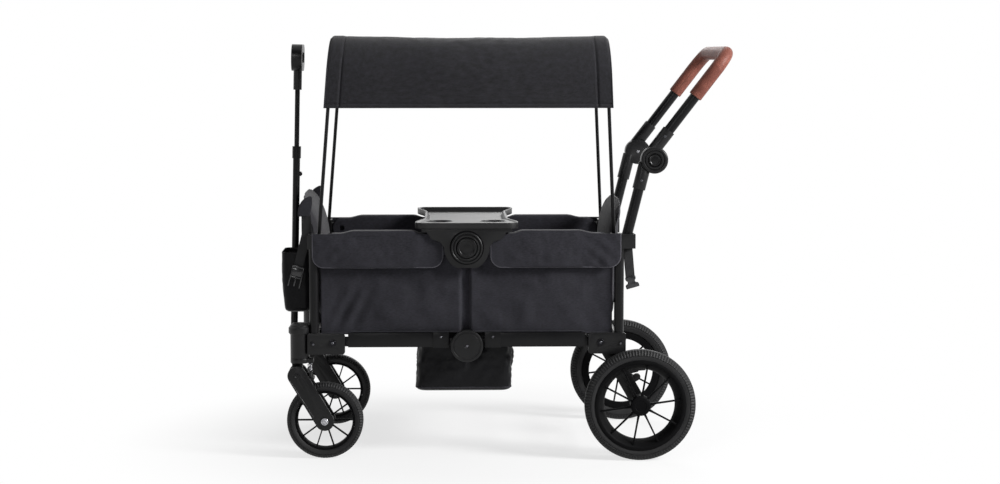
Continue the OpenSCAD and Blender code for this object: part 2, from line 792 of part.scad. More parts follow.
module side_flaps() {
    end = pivot_x + post_setback + 2;
    top = rail_z + side_rise + rail_h / 2 + soft_gap;
    low = upper_pivot_z - flap_drop;
    in_y1 = rail_in - soft_gap;
    strip_end = pivot_x - 17;
    length = end - flap_start;
    height = top + flap_t - low;
    both_sides() {
        slab(flap_y0, flap_y1) translate([flap_start + length / 2, low + height / 2]) {
            translate([-length / 2, 0]) square([length, height / 2]);
            round_rect(length, height, flap_corner);
        }
        translate([flap_start, in_y1 - flap_t, top])
            cube([strip_end - flap_start, flap_y1 - in_y1 + flap_t, flap_t]);
        translate([flap_start, in_y1 - flap_t, upper_hub_z - lug_r])
            cube([strip_end - flap_start - 14, flap_t, top + flap_t - upper_hub_z + lug_r]);
    }
}

module rear_side_flaps() color(cloth) place() side_flaps();

module front_side_flaps() color(cloth) place() to_front() side_flaps();

// Upper hub: outer plate, boss to the rail lugs, button ring, tray shelf and pin
module upper_hubs() color(black) place() both_sides() {
    boss_y0 = rail_out + ear_gap;
    step = hub_boss_r + 44;
    difference() {
        union() {
            slab(hub_plate_y0, hub_plate_y1) {
                intersection() {
                    translate([0, upper_hub_z]) circle(hub_boss_r + 10);
                    translate([-step, upper_hub_z - hub_boss_r - 4]) square([2 * step, hub_boss_r + 30]);
                }
                for (s = [-1, 1]) scale([s, 1]) polygon([[0, shelf_z1], [step + 26, shelf_z1],
                    [step + 12, shelf_z0], [step, shelf_z0 - 18], [step - 24, shelf_z0 - 26],
                    [hub_boss_r + 10, upper_hub_z], [0, upper_hub_z]]);
            }
            bar_y(0, upper_hub_z, hub_boss_r - 4, boss_y0, hub_plate_y0 + 1);
            bar_y(0, upper_hub_z, hub_ring_r, hub_plate_y0, hub_face_y);
            translate([-shelf_half, rail_in, shelf_z0])
                cube([2 * shelf_half, hub_plate_y1 - rail_in, shelf_z1 - shelf_z0]);
        }
        bar_y(0, upper_hub_z, hub_button_r + run_gap, hub_face_y - hub_travel - 4, hub_face_y + 1);
    }
    hub_pin(upper_hub_z, boss_y0 + 1);
}

module hub_button() {
    back_y0 = hub_face_y - 3;
    difference() {
        bar_y(0, upper_hub_z, hub_button_r, back_y0, back_y0 + 6.5);
        bar_y(0, upper_hub_z, hub_button_r - 9, back_y0 + 5, back_y0 + 7);
    }
}

module hub_button_left() color(black) place() mirror([0, 1, 0]) hub_button();

module hub_button_right() color(black) place() hub_button();

// Snack tray across both hub shelves, with two cup recesses on the left
module tray() color(grey) place() {
    corner = 24;
    rim_w = 6;
    cup_wall = 3;
    difference() {
        union() {
            difference() {
                translate([0, 0, tray_z0]) linear_extrude(tray_rim) round_rect(tray_l, 2 * tray_y, corner);
                translate([0, 0, tray_z0 + tray_t]) linear_extrude(tray_rim)
                    round_rect(tray_l - 2 * rim_w, 2 * (tray_y - rim_w), corner - rim_w);
            }
            for (s = [-1, 1]) translate([s * cup_x, -cup_y, tray_z0 + tray_t - cup_depth - cup_wall])
                cylinder(r = cup_r + cup_wall, h = cup_depth + cup_wall);
        }
        for (s = [-1, 1]) translate([s * cup_x, -cup_y, tray_z0 + tray_t - cup_depth])
            cylinder(r = cup_r, h = cup_depth + 1);
    }
}

// Front frame
module front_frame_tubes() color(black) place() {
    to_front() end_tubes(front_cross_x, back_cross_at(front_back_z, front_back_lean));
    both_sides() difference() {
        slab(yoke_in, yoke_in + yoke_t) link(-front_cross_x, cross_z, pull_x, pull_z, pull_base_r - 2);
        bar_y(pull_x, pull_z, pull_pin_r + run_gap, yoke_in - 1, yoke_in + yoke_t + 1);
    }
}

// Front corner with the caster swivel housing and its cap
module front_corner_brackets() color(black) place() both_sides() difference() {
    union() {
        to_front() corner_block();
        translate([swivel_x, caster_y, housing_z0]) cylinder(r = housing_r, h = housing_z1 - housing_z0);
        translate([swivel_x, caster_y, housing_z1 - 21]) cylinder(r = cap_r, h = 14);
        translate([swivel_x, caster_y, housing_z1 - 7]) cylinder(r1 = cap_r, r2 = cap_r - 10, h = 12);
    }
    translate([swivel_x, caster_y, housing_z0 - 1])
        cylinder(r = stem_r + run_gap, h = stem_top - housing_z0 + 2);
    translate([-post_x, rail_y, post_foot_z]) cylinder(r = post_r + fit_gap, h = rail_h * 2);
}

module front_fasteners() color(steel) place() to_front() corner_fasteners();

module front_top_brackets() color(black) place()
    to_front() both_sides() top_block(post_x + post_r + 3, false);

module front_seat_back() color(grey) place() to_front() seat_back(front_back_z, front_back_lean);

module front_straps() color(black) place() both_sides() {
    y = hoop_y - 10 - 1 - fit_gap;
    strap_and_buckle(-(post_x + strap_ahead), top_block_z1 - 4, front_strap_l, y, front_strap_lean);
    strap_sleeve(-(post_x + strap_ahead), top_block_z1 - 8, y);
}

module front_hoop() color(black) place() to_front() leaning_hoop(front_hoop_lean);

// Open topped pouch hung on the front cross tube
module front_pouch() color(cloth) place() {
    t = 2.5;
    back = -(back_cross_at(front_back_z, front_back_lean) + back_cross_r + soft_gap);
    size = [pouch_deep, pouch_w, pouch_h];
    corner = [back - size[0], -back_y, back_cross_z - pouch_below];
    difference() {
        translate(corner) cube(size);
        translate(corner + [t, t, t]) cube(size - [2 * t, 2 * t, 0]);
    }
}

// Caster head: stem in the housing, top plate and the lug for the suspension pivot
module caster_swivel(y) {
    translate([swivel_x, y, head_z1 - 2]) cylinder(r = stem_r, h = stem_top - head_z1 + 2);
    difference() {
        union() {
            translate([swivel_x, y, head_z0]) cylinder(r = housing_r, h = head_z1 - head_z0);
            translate([swivel_x, y - lug_half, head_z0]) cube([36, 2 * lug_half, head_z1 - head_z0]);
            slab(y - lug_half, y + lug_half) {
                translate([caster_pivot_x, caster_pivot_z]) circle(20);
                translate([caster_pivot_x - 14, caster_pivot_z]) square([28, head_z0 - caster_pivot_z + 2]);
            }
        }
        bar_y(caster_pivot_x, caster_pivot_z, pin_hole_r, y - lug_half - 1, y + lug_half + 1);
    }
}

module caster_swivel_left() color(black) place() caster_swivel(-caster_y);

module caster_swivel_right() color(black) place() caster_swivel(caster_y);

// Suspension fork: two legs, a bridge above the tyre, a spring seat, the pivot pin and the axle bolt
module caster_arm(y) {
    bridge_u = 24.5;
    difference() {
        union() {
            for (s = [[-leg_out, -leg_in], [leg_in, leg_out]])
                slab(y + s[0], y + s[1])
                    link(caster_pivot_x, caster_pivot_z, front_axle_x, front_axle_z, 25);
            translate([caster_pivot_x, y, caster_pivot_z]) rotate([0, caster_turn, 0])
                translate([bridge_u, -leg_in - 1, -24]) cube([8, 2 * leg_in + 2, 58]);
            translate([spring_x, y, spring_z0 - 18]) cylinder(r = spring_r + 2, h = 18);
        }
        bar_y(front_axle_x, front_axle_z, caster_bolt_r + fit_gap, y - leg_out - 1, y + leg_out + 1);
        bar_y(caster_pivot_x, caster_pivot_z, pin_r + fit_gap, y - leg_out - 1, y + leg_out + 1);
    }
    bar_y(front_axle_x, front_axle_z, caster_bolt_r, y - leg_out - 1, y + leg_out + 1);
    for (s = [-1, 1]) let (head_y = y + s * (leg_out + 2.5))
        bar_y(front_axle_x, front_axle_z, caster_bolt_r + 3, head_y - 2, head_y + 2);
    bar_y(caster_pivot_x, caster_pivot_z, pin_r, y - leg_out, y + leg_out);
}

module caster_arm_left() color(black) place() caster_arm(-caster_y);

module caster_arm_right() color(black) place() caster_arm(caster_y);

// Compression spring between the caster head and the fork bridge: one wire, straight at both ends
spring_h = head_z0 - spring_z0 - 2 * soft_gap;
spring_steps = 8;
spring_lead = 2 * spring_wire;
function spring_point(k) = let (
    n = spring_turns * spring_steps,
    a = 360 * min(max(k, 0), n) / spring_steps,
    z = spring_lead + spring_wire + (spring_h - 2 * spring_lead - 2 * spring_wire) * min(max(k, 0), n) / n)
    [spring_r * cos(a), spring_r * sin(a), k < 0 ? 0 : k > n ? spring_h : z];
spring_path = [for (k = [-1:spring_turns * spring_steps + 1]) spring_point(k)];
function spring_gap() = min([for (i = [0:len(spring_path) - 1]) for (j = [i + 5:1:len(spring_path) - 1])
    norm(spring_path[i] - spring_path[j])]) - 2 * spring_wire;
echo(spring_least_gap = spring_gap());

// Tube of six sides swept along a path that climbs along Z
module swept_tube(path, r) {
    sides = 6;
    last = len(path) - 1;
    function along(k) = let (d = path[min(k + 1, last)] - path[max(k - 1, 0)]) d / norm(d);
    function ring(k) = let (
        t = (k == 0 || k == last) ? [0, 0, 1] : along(k),
        out = [path[k][0], path[k][1], 0] / norm([path[k][0], path[k][1]]),
        u = (out - t * (out * t)) / norm(out - t * (out * t)),
        v = cross(t, u))
        [for (s = [0:sides - 1]) path[k] + r * (u * cos(60 * s) + v * sin(60 * s))];
    pts = [for (k = [0:last]) each ring(k)];
    walls = [for (k = [0:last - 1]) for (s = [0:sides - 1]) let (
        a = k * sides + s,
        b = k * sides + (s + 1) % sides) each [[a, a + sides, b], [b, a + sides, b + sides]]];
    ends = [for (s = [1:sides - 2]) each [[0, s, s + 1],
        [last * sides, last * sides + s + 1, last * sides + s]]];
    polyhedron(pts, concat(walls, ends));
}

module caster_spring(y) {
    translate([spring_x, y, spring_z0 + soft_gap]) swept_tube(spring_path, spring_wire);
}

module caster_spring_left() color(steel) place() caster_spring(-caster_y);

module caster_spring_right() color(steel) place() caster_spring(caster_y);

// Wheels, drawn about their axle along Y
module tyre(r_out, r_in, w) {
    rotate([90, 0, 0]) rotate_extrude()
        translate([(r_out + r_in) / 2, 0]) round_rect(r_out - r_in, w, tyre_edge);
}

// Spoked rim with a hub; the hub runs from hub_y0 to hub_y1
module rim(r_out, r_in, w, hub_r, bore_r, hub_y0, hub_y1, spoke_w) {
    difference() {
        union() {
            rotate([90, 0, 0]) rotate_extrude() translate([r_in, -w / 2]) square([r_out - r_in, w]);
            bar_y(0, 0, hub_r, hub_y0, hub_y1);
            for (k = [0:spokes - 1]) rotate([0, 360 * (k + 0.5) / spokes, 0])
                translate([-spoke_w / 2, -spoke_w, hub_r - 2]) cube([spoke_w, 2 * spoke_w, r_in - hub_r + 4]);
        }
        bar_y(0, 0, bore_r, hub_y0 - 1, hub_y1 + 1);
    }
}

module front_rim(y) {
    translate([front_axle_x, y, front_axle_z])
        rim(front_tyre_in - fit_gap, front_rim_in, front_tyre_w - 10, 16, caster_bolt_r + run_gap,
            -leg_in + ear_gap, leg_in - ear_gap, 4.5);
}

module front_rim_left() color(black) place() front_rim(-caster_y);

module front_rim_right() color(black) place() front_rim(caster_y);

module front_tyre(y) {
    translate([front_axle_x, y, front_axle_z]) tyre(front_wheel_r, front_tyre_in, front_tyre_w);
}

module front_tyre_left() color(black) place() front_tyre(-caster_y);

module front_tyre_right() color(black) place() front_tyre(caster_y);

module rear_rim() {
    translate([rear_axle_x, rear_wheel_y, rear_axle_z])
        rim(rear_tyre_in - fit_gap, rear_rim_in, rear_tyre_w - 6, rear_hub_r, rear_axle_r + run_gap,
            rear_hub_y0 - rear_wheel_y, axle_end_y + 2 - rear_wheel_y, 6);
    bar_y(rear_axle_x, rear_axle_z, rear_hub_r, axle_end_y + 1, rear_cap_y);
}

module rear_rim_left() color(black) place() mirror([0, 1, 0]) rear_rim();

module rear_rim_right() color(black) place() rear_rim();

module rear_tyre(y) {
    translate([rear_axle_x, y, rear_axle_z]) tyre(rear_wheel_r, rear_tyre_in, rear_tyre_w);
}

module rear_tyre_left() color(black) place() rear_tyre(-rear_wheel_y);

module rear_tyre_right() color(black) place() rear_tyre(rear_wheel_y);

// Foot brake: shaft through both wheel arms, tread pedal and a lock lever beside each wheel
module brake_pedal() color(black) place() {
    tread = 55;
    bar_y(brake_x, brake_z, brake_r, -arm_y1, arm_y1);
    slab(-tread, tread) {
        link(brake_x, brake_z, brake_x + 40, brake_z + 10, 8);
        link(brake_x + 30, brake_z + 10, brake_x + 62, brake_z + 12, 5);
    }
    both_sides() slab(arm_y0 - 12, arm_y0 - ear_gap) link(brake_x, brake_z, brake_x + 26, brake_z + 16, 9);
}

// Pull handle, drawn upright at its pivot and leaned back a little
module pull_place() {
    translate([pull_x, 0, pull_z]) rotate([0, pull_lean, 0]) children();
}

module pull_outer_tube() color(black) place() pull_place() difference() {
    union() {
        bar_y(0, 0, pull_base_r, -yoke_in + ear_gap, yoke_in - ear_gap);
        bar_y(0, 0, pull_pin_r, -yoke_in - yoke_t, yoke_in + yoke_t);
        cylinder(r = pull_outer_r, h = pull_outer_l);
        translate([0, 0, pull_outer_l - collar_l]) cylinder(r = collar_r, h = collar_l);
        translate([0, 0, lock_z]) rotate([0, 90, 0]) cylinder(r = lock_r + 2.5, h = pull_outer_r + 4);
    }
    translate([0, 0, pull_foot]) cylinder(r = pull_inner_r + run_gap, h = pull_outer_l);
    translate([pull_inner_r + 1, 0, lock_z]) rotate([0, 90, 0])
        cylinder(r = lock_r + run_gap, h = pull_outer_r + 6);
}

// Release button on the side of the outer pull tube
module pull_lock_button() color(black) place() pull_place()
    translate([pull_inner_r + 4.5, 0, lock_z]) rotate([0, 90, 0])
        cylinder(r = lock_r, h = pull_outer_r + 2 - pull_inner_r);

module pull_inner_tube() color(black) place() pull_place() difference() {
    translate([0, 0, inner_start]) cylinder(r = pull_inner_r, h = inner_l);
    translate([0, 0, inner_start - 1]) cylinder(r = pull_inner_r - handle_wall, h = inner_l + 2);
}

// Loop grip across the wagon on a round neck
module pull_grip() color(black) place() pull_place() difference() {
    union() {
        translate([0, 0, pull_grip_z - neck_l]) cylinder(r = neck_r, h = neck_l + 8);
        translate([-grip_w / 2 + 6, 0, pull_grip_z + grip_h / 2]) rotate([90, 0, 90])
            linear_extrude(grip_w - 12) difference() {
                round_rect(3 * grip_w, grip_h, 34);
                round_rect(3 * grip_w - 44, grip_h - 44, 14);
            }
    }
    translate([0, 0, pull_grip_z - neck_l - 1])
        cylinder(r = pull_inner_r + fit_gap, h = neck_socket + 1 + 2 * fit_gap);
}

rear_frame_tubes();
rear_corner_brackets();
rear_wheel_arms();
rear_axle();
rear_fasteners();
rear_top_brackets();
handle_lower_tubes();
handle_hub_lowers();
rear_seat_back();
rear_straps();
rear_hoop();
canopy_cover();
side_walls();
footwell();
rear_lower_rails();
rear_floor_board();
lower_hubs();
front_lower_rails();
front_floor_board();
front_frame_tubes();
front_corner_brackets();
front_fasteners();
front_top_brackets();
front_seat_back();
front_straps();
front_hoop();
front_pouch();
rear_upper_rails();
rear_side_flaps();
front_upper_rails();
front_side_flaps();
upper_hubs();
tray();
hub_button_left();
hub_button_right();
caster_swivel_left();
caster_swivel_right();
caster_spring_left();
caster_spring_right();
caster_arm_left();
caster_arm_right();
front_rim_left();
front_rim_right();
front_tyre_left();
front_tyre_right();
rear_rim_left();
rear_rim_right();
rear_tyre_left();
rear_tyre_right();
brake_pedal();
handle_upper_tube();
handle_grip();
handle_hub_uppers();
handle_button_left();
handle_button_right();
pull_outer_tube();
pull_inner_tube();
pull_grip();
pull_lock_button();
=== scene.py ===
# Folding stroller wagon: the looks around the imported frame.
# Sizes are in millimetres about the fold centre, as in the part's source.
# at() turns them into the frame's metres.
import json
import math

import bpy
from mathutils import Matrix, Vector, noise


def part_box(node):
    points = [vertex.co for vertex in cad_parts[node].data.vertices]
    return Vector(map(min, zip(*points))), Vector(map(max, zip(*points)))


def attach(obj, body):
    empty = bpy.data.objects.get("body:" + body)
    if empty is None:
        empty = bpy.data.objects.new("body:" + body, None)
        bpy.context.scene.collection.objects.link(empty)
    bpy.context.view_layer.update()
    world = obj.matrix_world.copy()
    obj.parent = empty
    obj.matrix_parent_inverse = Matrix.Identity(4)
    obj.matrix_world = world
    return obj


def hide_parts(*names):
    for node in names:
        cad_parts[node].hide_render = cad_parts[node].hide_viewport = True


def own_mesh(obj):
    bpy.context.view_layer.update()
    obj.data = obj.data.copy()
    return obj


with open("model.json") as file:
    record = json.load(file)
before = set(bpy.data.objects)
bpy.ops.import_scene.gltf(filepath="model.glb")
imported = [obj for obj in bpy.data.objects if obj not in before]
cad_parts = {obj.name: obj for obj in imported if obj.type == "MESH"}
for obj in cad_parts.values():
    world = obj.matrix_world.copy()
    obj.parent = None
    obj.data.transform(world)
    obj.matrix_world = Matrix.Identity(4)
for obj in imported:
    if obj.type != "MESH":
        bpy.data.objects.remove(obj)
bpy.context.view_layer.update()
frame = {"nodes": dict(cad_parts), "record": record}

MM = 0.001
SIDES = ("left", -1), ("right", 1)
NODE_BODY = {n: body for body, nodes in frame["record"]["behaviour"]["bodies"].items() for n in nodes}
NODE_SLOT = {s["node"]: s["material_slot"] for s in frame["record"]["subparts"]}
hub_low, hub_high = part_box("upper_hubs")
FOLD_X = (hub_low.x + hub_high.x) / 2


def at(x, y, z):
    """A point in millimetres about the fold centre, in the frame's metres."""
    return Vector((FOLD_X + x * MM, y * MM, z * MM))


def eased(value, low, high):
    """Rises smoothly from 0 at low to 1 at high."""
    share = min(1, max(0, (value - low) / (high - low)))
    return share * share * (3 - 2 * share)


def rounded(half_x, half_y, corner, z, middle=0, steps=10):
    """Points round a rectangle with round corners, at one height."""
    points = []
    for k, (sx, sy) in enumerate(((1, 1), (-1, 1), (-1, -1), (1, -1))):
        for i in range(steps + 1):
            turn = math.pi / 2 * (k + i / steps)
            points.append(at(middle + sx * (half_x - corner) + corner * math.cos(turn),
                             sy * (half_y - corner) + corner * math.sin(turn), z))
    return points


# Camera: found from the wheel axles, the hubs, the hem's corners and the grips
VIEW_PLACE = (-0.1622, -5.595, 1.0727)
VIEW_TURN, VIEW_DIP = 0.0269, 0.0922
SENSOR, FOCAL_PIXELS, PHOTO_PIXELS = 36, 2016.0, 1000
camera_data = bpy.data.cameras.new("camera")
camera_data.lens = SENSOR * FOCAL_PIXELS / PHOTO_PIXELS
camera_data.sensor_width = SENSOR
camera = bpy.data.objects.new("camera", camera_data)
camera.location = VIEW_PLACE
camera.rotation_euler = (math.pi / 2 - VIEW_DIP, 0, -VIEW_TURN)
bpy.context.scene.collection.objects.link(camera)
bpy.context.scene.camera = camera


# Working by hand: what is selected, what is finished
def clear():
    if bpy.context.object and bpy.context.object.mode != "OBJECT":
        bpy.ops.object.mode_set(mode="OBJECT")
    bpy.ops.object.select_all(action="DESELECT")


def pick(*pieces):
    clear()
    for piece in pieces:
        piece.select_set(True)
    bpy.context.view_layer.objects.active = pieces[0]


def edit(piece, mode="VERT"):
    """Into edit mode, with all of the piece selected."""
    pick(piece)
    bpy.ops.object.mode_set(mode="EDIT")
    bpy.ops.mesh.select_mode(type=mode)
    bpy.ops.mesh.select_all(action="SELECT")


def done():
    bpy.ops.object.mode_set(mode="OBJECT")


def modify(piece, kind, **settings):
    """Add a modifier with its settings and apply it."""
    pick(piece)
    bpy.ops.object.modifier_add(type=kind)
    change = piece.modifiers[-1]
    for key, value in settings.items():
        setattr(change, key, value)
    bpy.ops.object.modifier_apply(modifier=change.name)
    return piece


def smooth(piece, angle=35):
    pick(piece)
    bpy.ops.object.shade_smooth_by_angle(angle=math.radians(angle))
    return piece


def settle(piece):
    """Put the object at the origin, unturned and unscaled, with its place in its mesh."""
    pick(piece)
    bpy.ops.object.transform_apply(location=True, rotation=True, scale=True)
    return piece


def tidy_mesh(piece, merge=1e-6, turn_out=True):
    """Merge doubled points and turn the faces outwards."""
    edit(piece)
    bpy.ops.mesh.remove_doubles(threshold=merge)
    if turn_out:
        bpy.ops.mesh.normals_make_consistent(inside=False)
    done()
    return piece


def joined(name, pieces):
    """Several pieces made one, under a new name."""
    pick(*pieces)
    if len(pieces) > 1:
        bpy.ops.object.join()
    piece = bpy.context.object
    piece.name = piece.data.name = name
    return piece


def copied(piece, name):
    """A twin with a mesh of its own."""
    twin = piece.copy()
    twin.data = piece.data.copy()
    twin.name = twin.data.name = name
    bpy.context.scene.collection.objects.link(twin)
    return twin


def moved(piece, place):
    piece.data.transform(Matrix.Translation(place))
    return piece


def turned_by(piece, angle, axis):
    piece.data.transform(Matrix.Rotation(angle, 4, axis))
    return piece


def mirrored(piece, name):
    """A copy across the middle of the wagon, with its faces turned out again."""
    twin = copied(piece, name)
    twin.data.transform(Matrix.Scale(-1, 4, (0, 1, 0)))
    twin.data.flip_normals()
    return twin


def outline(name, points):
    """A closed ring of edges through the points, to be spun or extruded in edit mode."""
    clear()
    mesh = bpy.data.meshes.new(name)
    count = len(points)
    mesh.from_pydata(points, [(i, (i + 1) % count) for i in range(count)], [])
    piece = bpy.data.objects.new(name, mesh)
    bpy.context.scene.collection.objects.link(piece)
    pick(piece)
    return piece


def lathe(name, profile, steps, angle=35):
    """A profile of (radius, height along Y) in millimetres spun about Y at the origin."""
    piece = outline(name, [(r * MM, y * MM, 0) for r, y in profile])
    edit(piece)
    bpy.ops.mesh.spin(steps=steps, angle=2 * math.pi, center=(0, 0, 0), axis=(0, 1, 0))
    done()
    tidy_mesh(piece, 2e-6)
    return smooth(piece, angle)


def block(name, low, high, round_by):
    """A box between two corners in millimetres about the fold centre, with its edges rounded."""
    clear()
    middle = at(*[(a + b) / 2 for a, b in zip(low, high)])
    bpy.ops.mesh.primitive_cube_add(size=1, location=middle)
    piece = bpy.context.object
    piece.name = piece.data.name = name
    piece.scale = [(b - a) * MM for a, b in zip(low, high)]
    settle(piece)
    edit(piece, "EDGE")
    bpy.ops.mesh.bevel(offset=round_by * MM, segments=2, profile=0.5, affect="EDGES")
    done()
    return smooth(piece)


def cord_along(name, points, radius, closed=False, sides=3):
    """A round cord through points in the frame's metres, made a mesh."""
    clear()
    curve = bpy.data.curves.new(name, "CURVE")
    curve.dimensions = "3D"
    curve.bevel_depth = radius * MM
    curve.bevel_resolution = sides
    curve.use_fill_caps = not closed
    spline = curve.splines.new("POLY")
    spline.points.add(len(points) - 1)
    for spot, point in zip(spline.points, points):
        spot.co = (*point, 1)
    spline.use_cyclic_u = closed
    piece = bpy.data.objects.new(name, curve)
    bpy.context.scene.collection.objects.link(piece)
    pick(piece)
    bpy.ops.object.convert(target="MESH")
    piece = bpy.context.object
    piece.data.name = name
    return smooth(tidy_mesh(piece), 60)


def cloth_grid(name, columns, rows, spot, flat, around=False):
    """A sheet of quads: spot(u, v) gives each crossing in the frame's metres.
    The UV map is the flat cut, also in metres."""
    clear()
    across = columns if around else columns + 1
    points = [spot(i / columns, j / rows) for j in range(rows + 1) for i in range(across)]
    faces = []
    for j in range(rows):
        for i in range(columns):
            k = (i + 1) % across
            faces.append((j * across + i, j * across + k, (j + 1) * across + k, (j + 1) * across + i))
    mesh = bpy.data.meshes.new(name)
    mesh.from_pydata(points, [], faces)
    cut = mesh.uv_layers.new(name="cut")
    for face in mesh.polygons:
        j, i = divmod(face.index, columns)
        for loop, (di, dj) in zip(face.loop_indices, ((0, 0), (1, 0), (1, 1), (0, 1))):
            cut.data[loop].uv = ((i + di) / columns * flat[0], (j + dj) / rows * flat[1])
    piece = bpy.data.objects.new(name, mesh)
    bpy.context.scene.collection.objects.link(piece)
    pick(piece)
    bpy.ops.object.shade_smooth()
    return piece


def rumple(point, size, height):
    """Soft unevenness of cloth at a point in metres.
    Size is the width of a ripple and height its depth, in millimetres."""
    return noise.noise(Vector(point) / (size * MM)) * height * MM


def wear(piece, material):
    piece.data.materials.clear()
    piece.data.materials.append(material)
    for face in piece.data.polygons:
        face.material_index = 0
    return piece


def fit(piece, body, material, slot, *nodes):
    """Dress a finished piece: its material, the body it rides on and the solids it stands for. The slot is
    not used.
    """
    wear(piece, material)
    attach(piece, body)
    if nodes:
        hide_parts(*nodes)
    return piece


# Materials
def colour(code):
    """An sRGB hex code as the linear colour that a shader takes."""
    parts = [int(code[i:i + 2], 16) / 255 for i in (1, 3, 5)]
    return (*[c / 12.92 if c <= 0.04045 else ((c + 0.055) / 1.055) ** 2.4 for c in parts], 1)


def add(tree, kind, inputs=None, **settings):
    """One node with its settings; an input takes a value or another node's output."""
    node = tree.nodes.new(kind)
    for key, value in settings.items():
        setattr(node, key, value)
    for key, value in (inputs or {}).items():
        if isinstance(value, bpy.types.NodeSocket):
            tree.links.new(value, node.inputs[key])
        else:
            node.inputs[key].default_value = value
    return node


def start_material(name, **sockets):
    """A material, its tree and its shader; the name of a socket has underscores for spaces."""
    material = bpy.data.materials.new(name)
    material.use_nodes = True
    tree = material.node_tree
    shader = tree.nodes["Principled BSDF"]
    for key, value in sockets.items():
        shader.inputs[key.replace("_", " ")].default_value = value
    return material, tree, shader


def finish_surface(tree, shader, tone, colours, height, depth, rough, spread=(0.35, 0.65)):
    """A dark and a light colour along the tone, which meet over a spread of it.
    Along the height, a bump of a depth in millimetres and a roughness between two values."""
    tint = add(tree, "ShaderNodeValToRGB", {"Fac": tone})
    for stop, place, code in zip(tint.color_ramp.elements, spread, colours):
        stop.position = place
        stop.color = colour(code)
    bump = add(tree, "ShaderNodeBump", {"Height": height, "Strength": 1.0, "Distance": depth * MM})
    grade = add(tree, "ShaderNodeMapRange", {"Value": height, "To Min": rough[0], "To Max": rough[1]})
    tree.links.new(tint.outputs["Color"], shader.inputs["Base Color"])
    tree.links.new(bump.outputs["Normal"], shader.inputs["Normal"])
    tree.links.new(grade.outputs["Result"], shader.inputs["Roughness"])


def per_mm(size):
    """Scale of a noise or Voronoi pattern whose grains are this many millimetres wide."""
    return 1 / (size * MM)


def band_scale(pitch):
    """Scale of a wave pattern whose bands repeat every pitch millimetres."""
    return 2 * math.pi / (20 * pitch * MM)


def coated_tube(name, dark, light, grain, rough, level):
    """Aluminium tube under a satin powder coat: a faint orange peel and soft highlights along the tube."""
    material, tree, shader = start_material(name, Specular_IOR_Level=level)
    where = add(tree, "ShaderNodeTexCoord").outputs["Object"]
    peel = add(tree, "ShaderNodeTexNoise", {"Vector": where, "Scale": per_mm(grain), "Detail": 3.0})
    cloud = add(tree, "ShaderNodeTexNoise", {"Vector": where, "Scale": per_mm(90), "Detail": 2.0})
    finish_surface(tree, shader, cloud.outputs["Fac"], (dark, light), peel.outputs["Fac"], 0.05, rough)
    return material


def moulded(name, dark, light, grain, depth, rough, level):
    """Moulded plastic with the pebble grain of its mould: matt, slightly paler where it has been handled."""
    material, tree, shader = start_material(name, Specular_IOR_Level=level)
    where = add(tree, "ShaderNodeTexCoord").outputs["Object"]
    pebble = add(tree, "ShaderNodeTexVoronoi", {"Vector": where, "Scale": per_mm(grain)}, feature="SMOOTH_F1")
    handled = add(tree, "ShaderNodeTexNoise", {"Vector": where, "Scale": per_mm(60), "Detail": 4.0})
    finish_surface(tree, shader, handled.outputs["Fac"], (dark, light), pebble.outputs["Distance"], depth,
                   rough)
    return material


def woven(name, dark, light, pitch, depth, sheen, on_cut, mottled=0.12, level=0.25, rough=(0.92, 0.8)):
    """Solution-dyed polyester: dark threads with paler flecks, a plain weave and a faint sheen.
    The threads of about 0.5 mm are drawn wider, so that they show."""
    material, tree, shader = start_material(name, Specular_IOR_Level=level, Sheen_Weight=sheen,
                                            Sheen_Roughness=0.5)
    if on_cut:
        where = add(tree, "ShaderNodeUVMap", uv_map="cut").outputs["UV"]
    else:
        where = add(tree, "ShaderNodeTexCoord").outputs["Object"]
    height = None
    for way in "XY" if on_cut else "XYZ":
        thread = add(tree, "ShaderNodeTexWave", {"Vector": where, "Scale": band_scale(pitch),
                                                 "Distortion": 0.4, "Detail": 1.0},
                     wave_type="BANDS", bands_direction=way).outputs["Fac"]
        if height is None:
            height = thread
        else:
            height = add(tree, "ShaderNodeMath", {0: height, 1: thread}, operation="MAXIMUM").outputs[0]
    stretch = add(tree, "ShaderNodeMapping", {"Vector": where, "Scale": (0.25, 1.0, 1.0)})
    fleck = add(tree, "ShaderNodeTexNoise", {"Vector": stretch.outputs["Vector"], "Scale": per_mm(2.2),
                                             "Detail": 4.0, "Roughness": 0.7}).outputs["Fac"]
    cloud = add(tree, "ShaderNodeTexNoise", {"Vector": where, "Scale": per_mm(16), "Detail": 6.0,
                                             "Roughness": 0.75}).outputs["Fac"]
    mottle = add(tree, "ShaderNodeMapRange", {"Value": cloud, "From Min": 0.35, "From Max": 0.65})
    tone = add(tree, "ShaderNodeMix", {"Factor": mottled, "A": fleck, "B": mottle.outputs[0]})
    finish_surface(tree, shader, tone.outputs[0], (dark, light), height, depth, rough, (0.28, 0.77))
    return material


def strap_webbing(name, dark, light):
    """Nylon webbing: ribs across the strap every 1.6 mm, slightly glossy, and darker between the ribs as
    painted shade.
    """
    material, tree, shader = start_material(name, Specular_IOR_Level=0.35)
    where = add(tree, "ShaderNodeTexCoord").outputs["Object"]
    ribs = add(tree, "ShaderNodeTexWave", {"Vector": where, "Scale": band_scale(1.6), "Distortion": 0.3},
               wave_type="BANDS", bands_direction="Z").outputs["Fac"]
    # The colour follows the ribs' height: painted shade in the grooves between them
    finish_surface(tree, shader, ribs, (dark, light), ribs, 0.25, (0.75, 0.55))
    return material


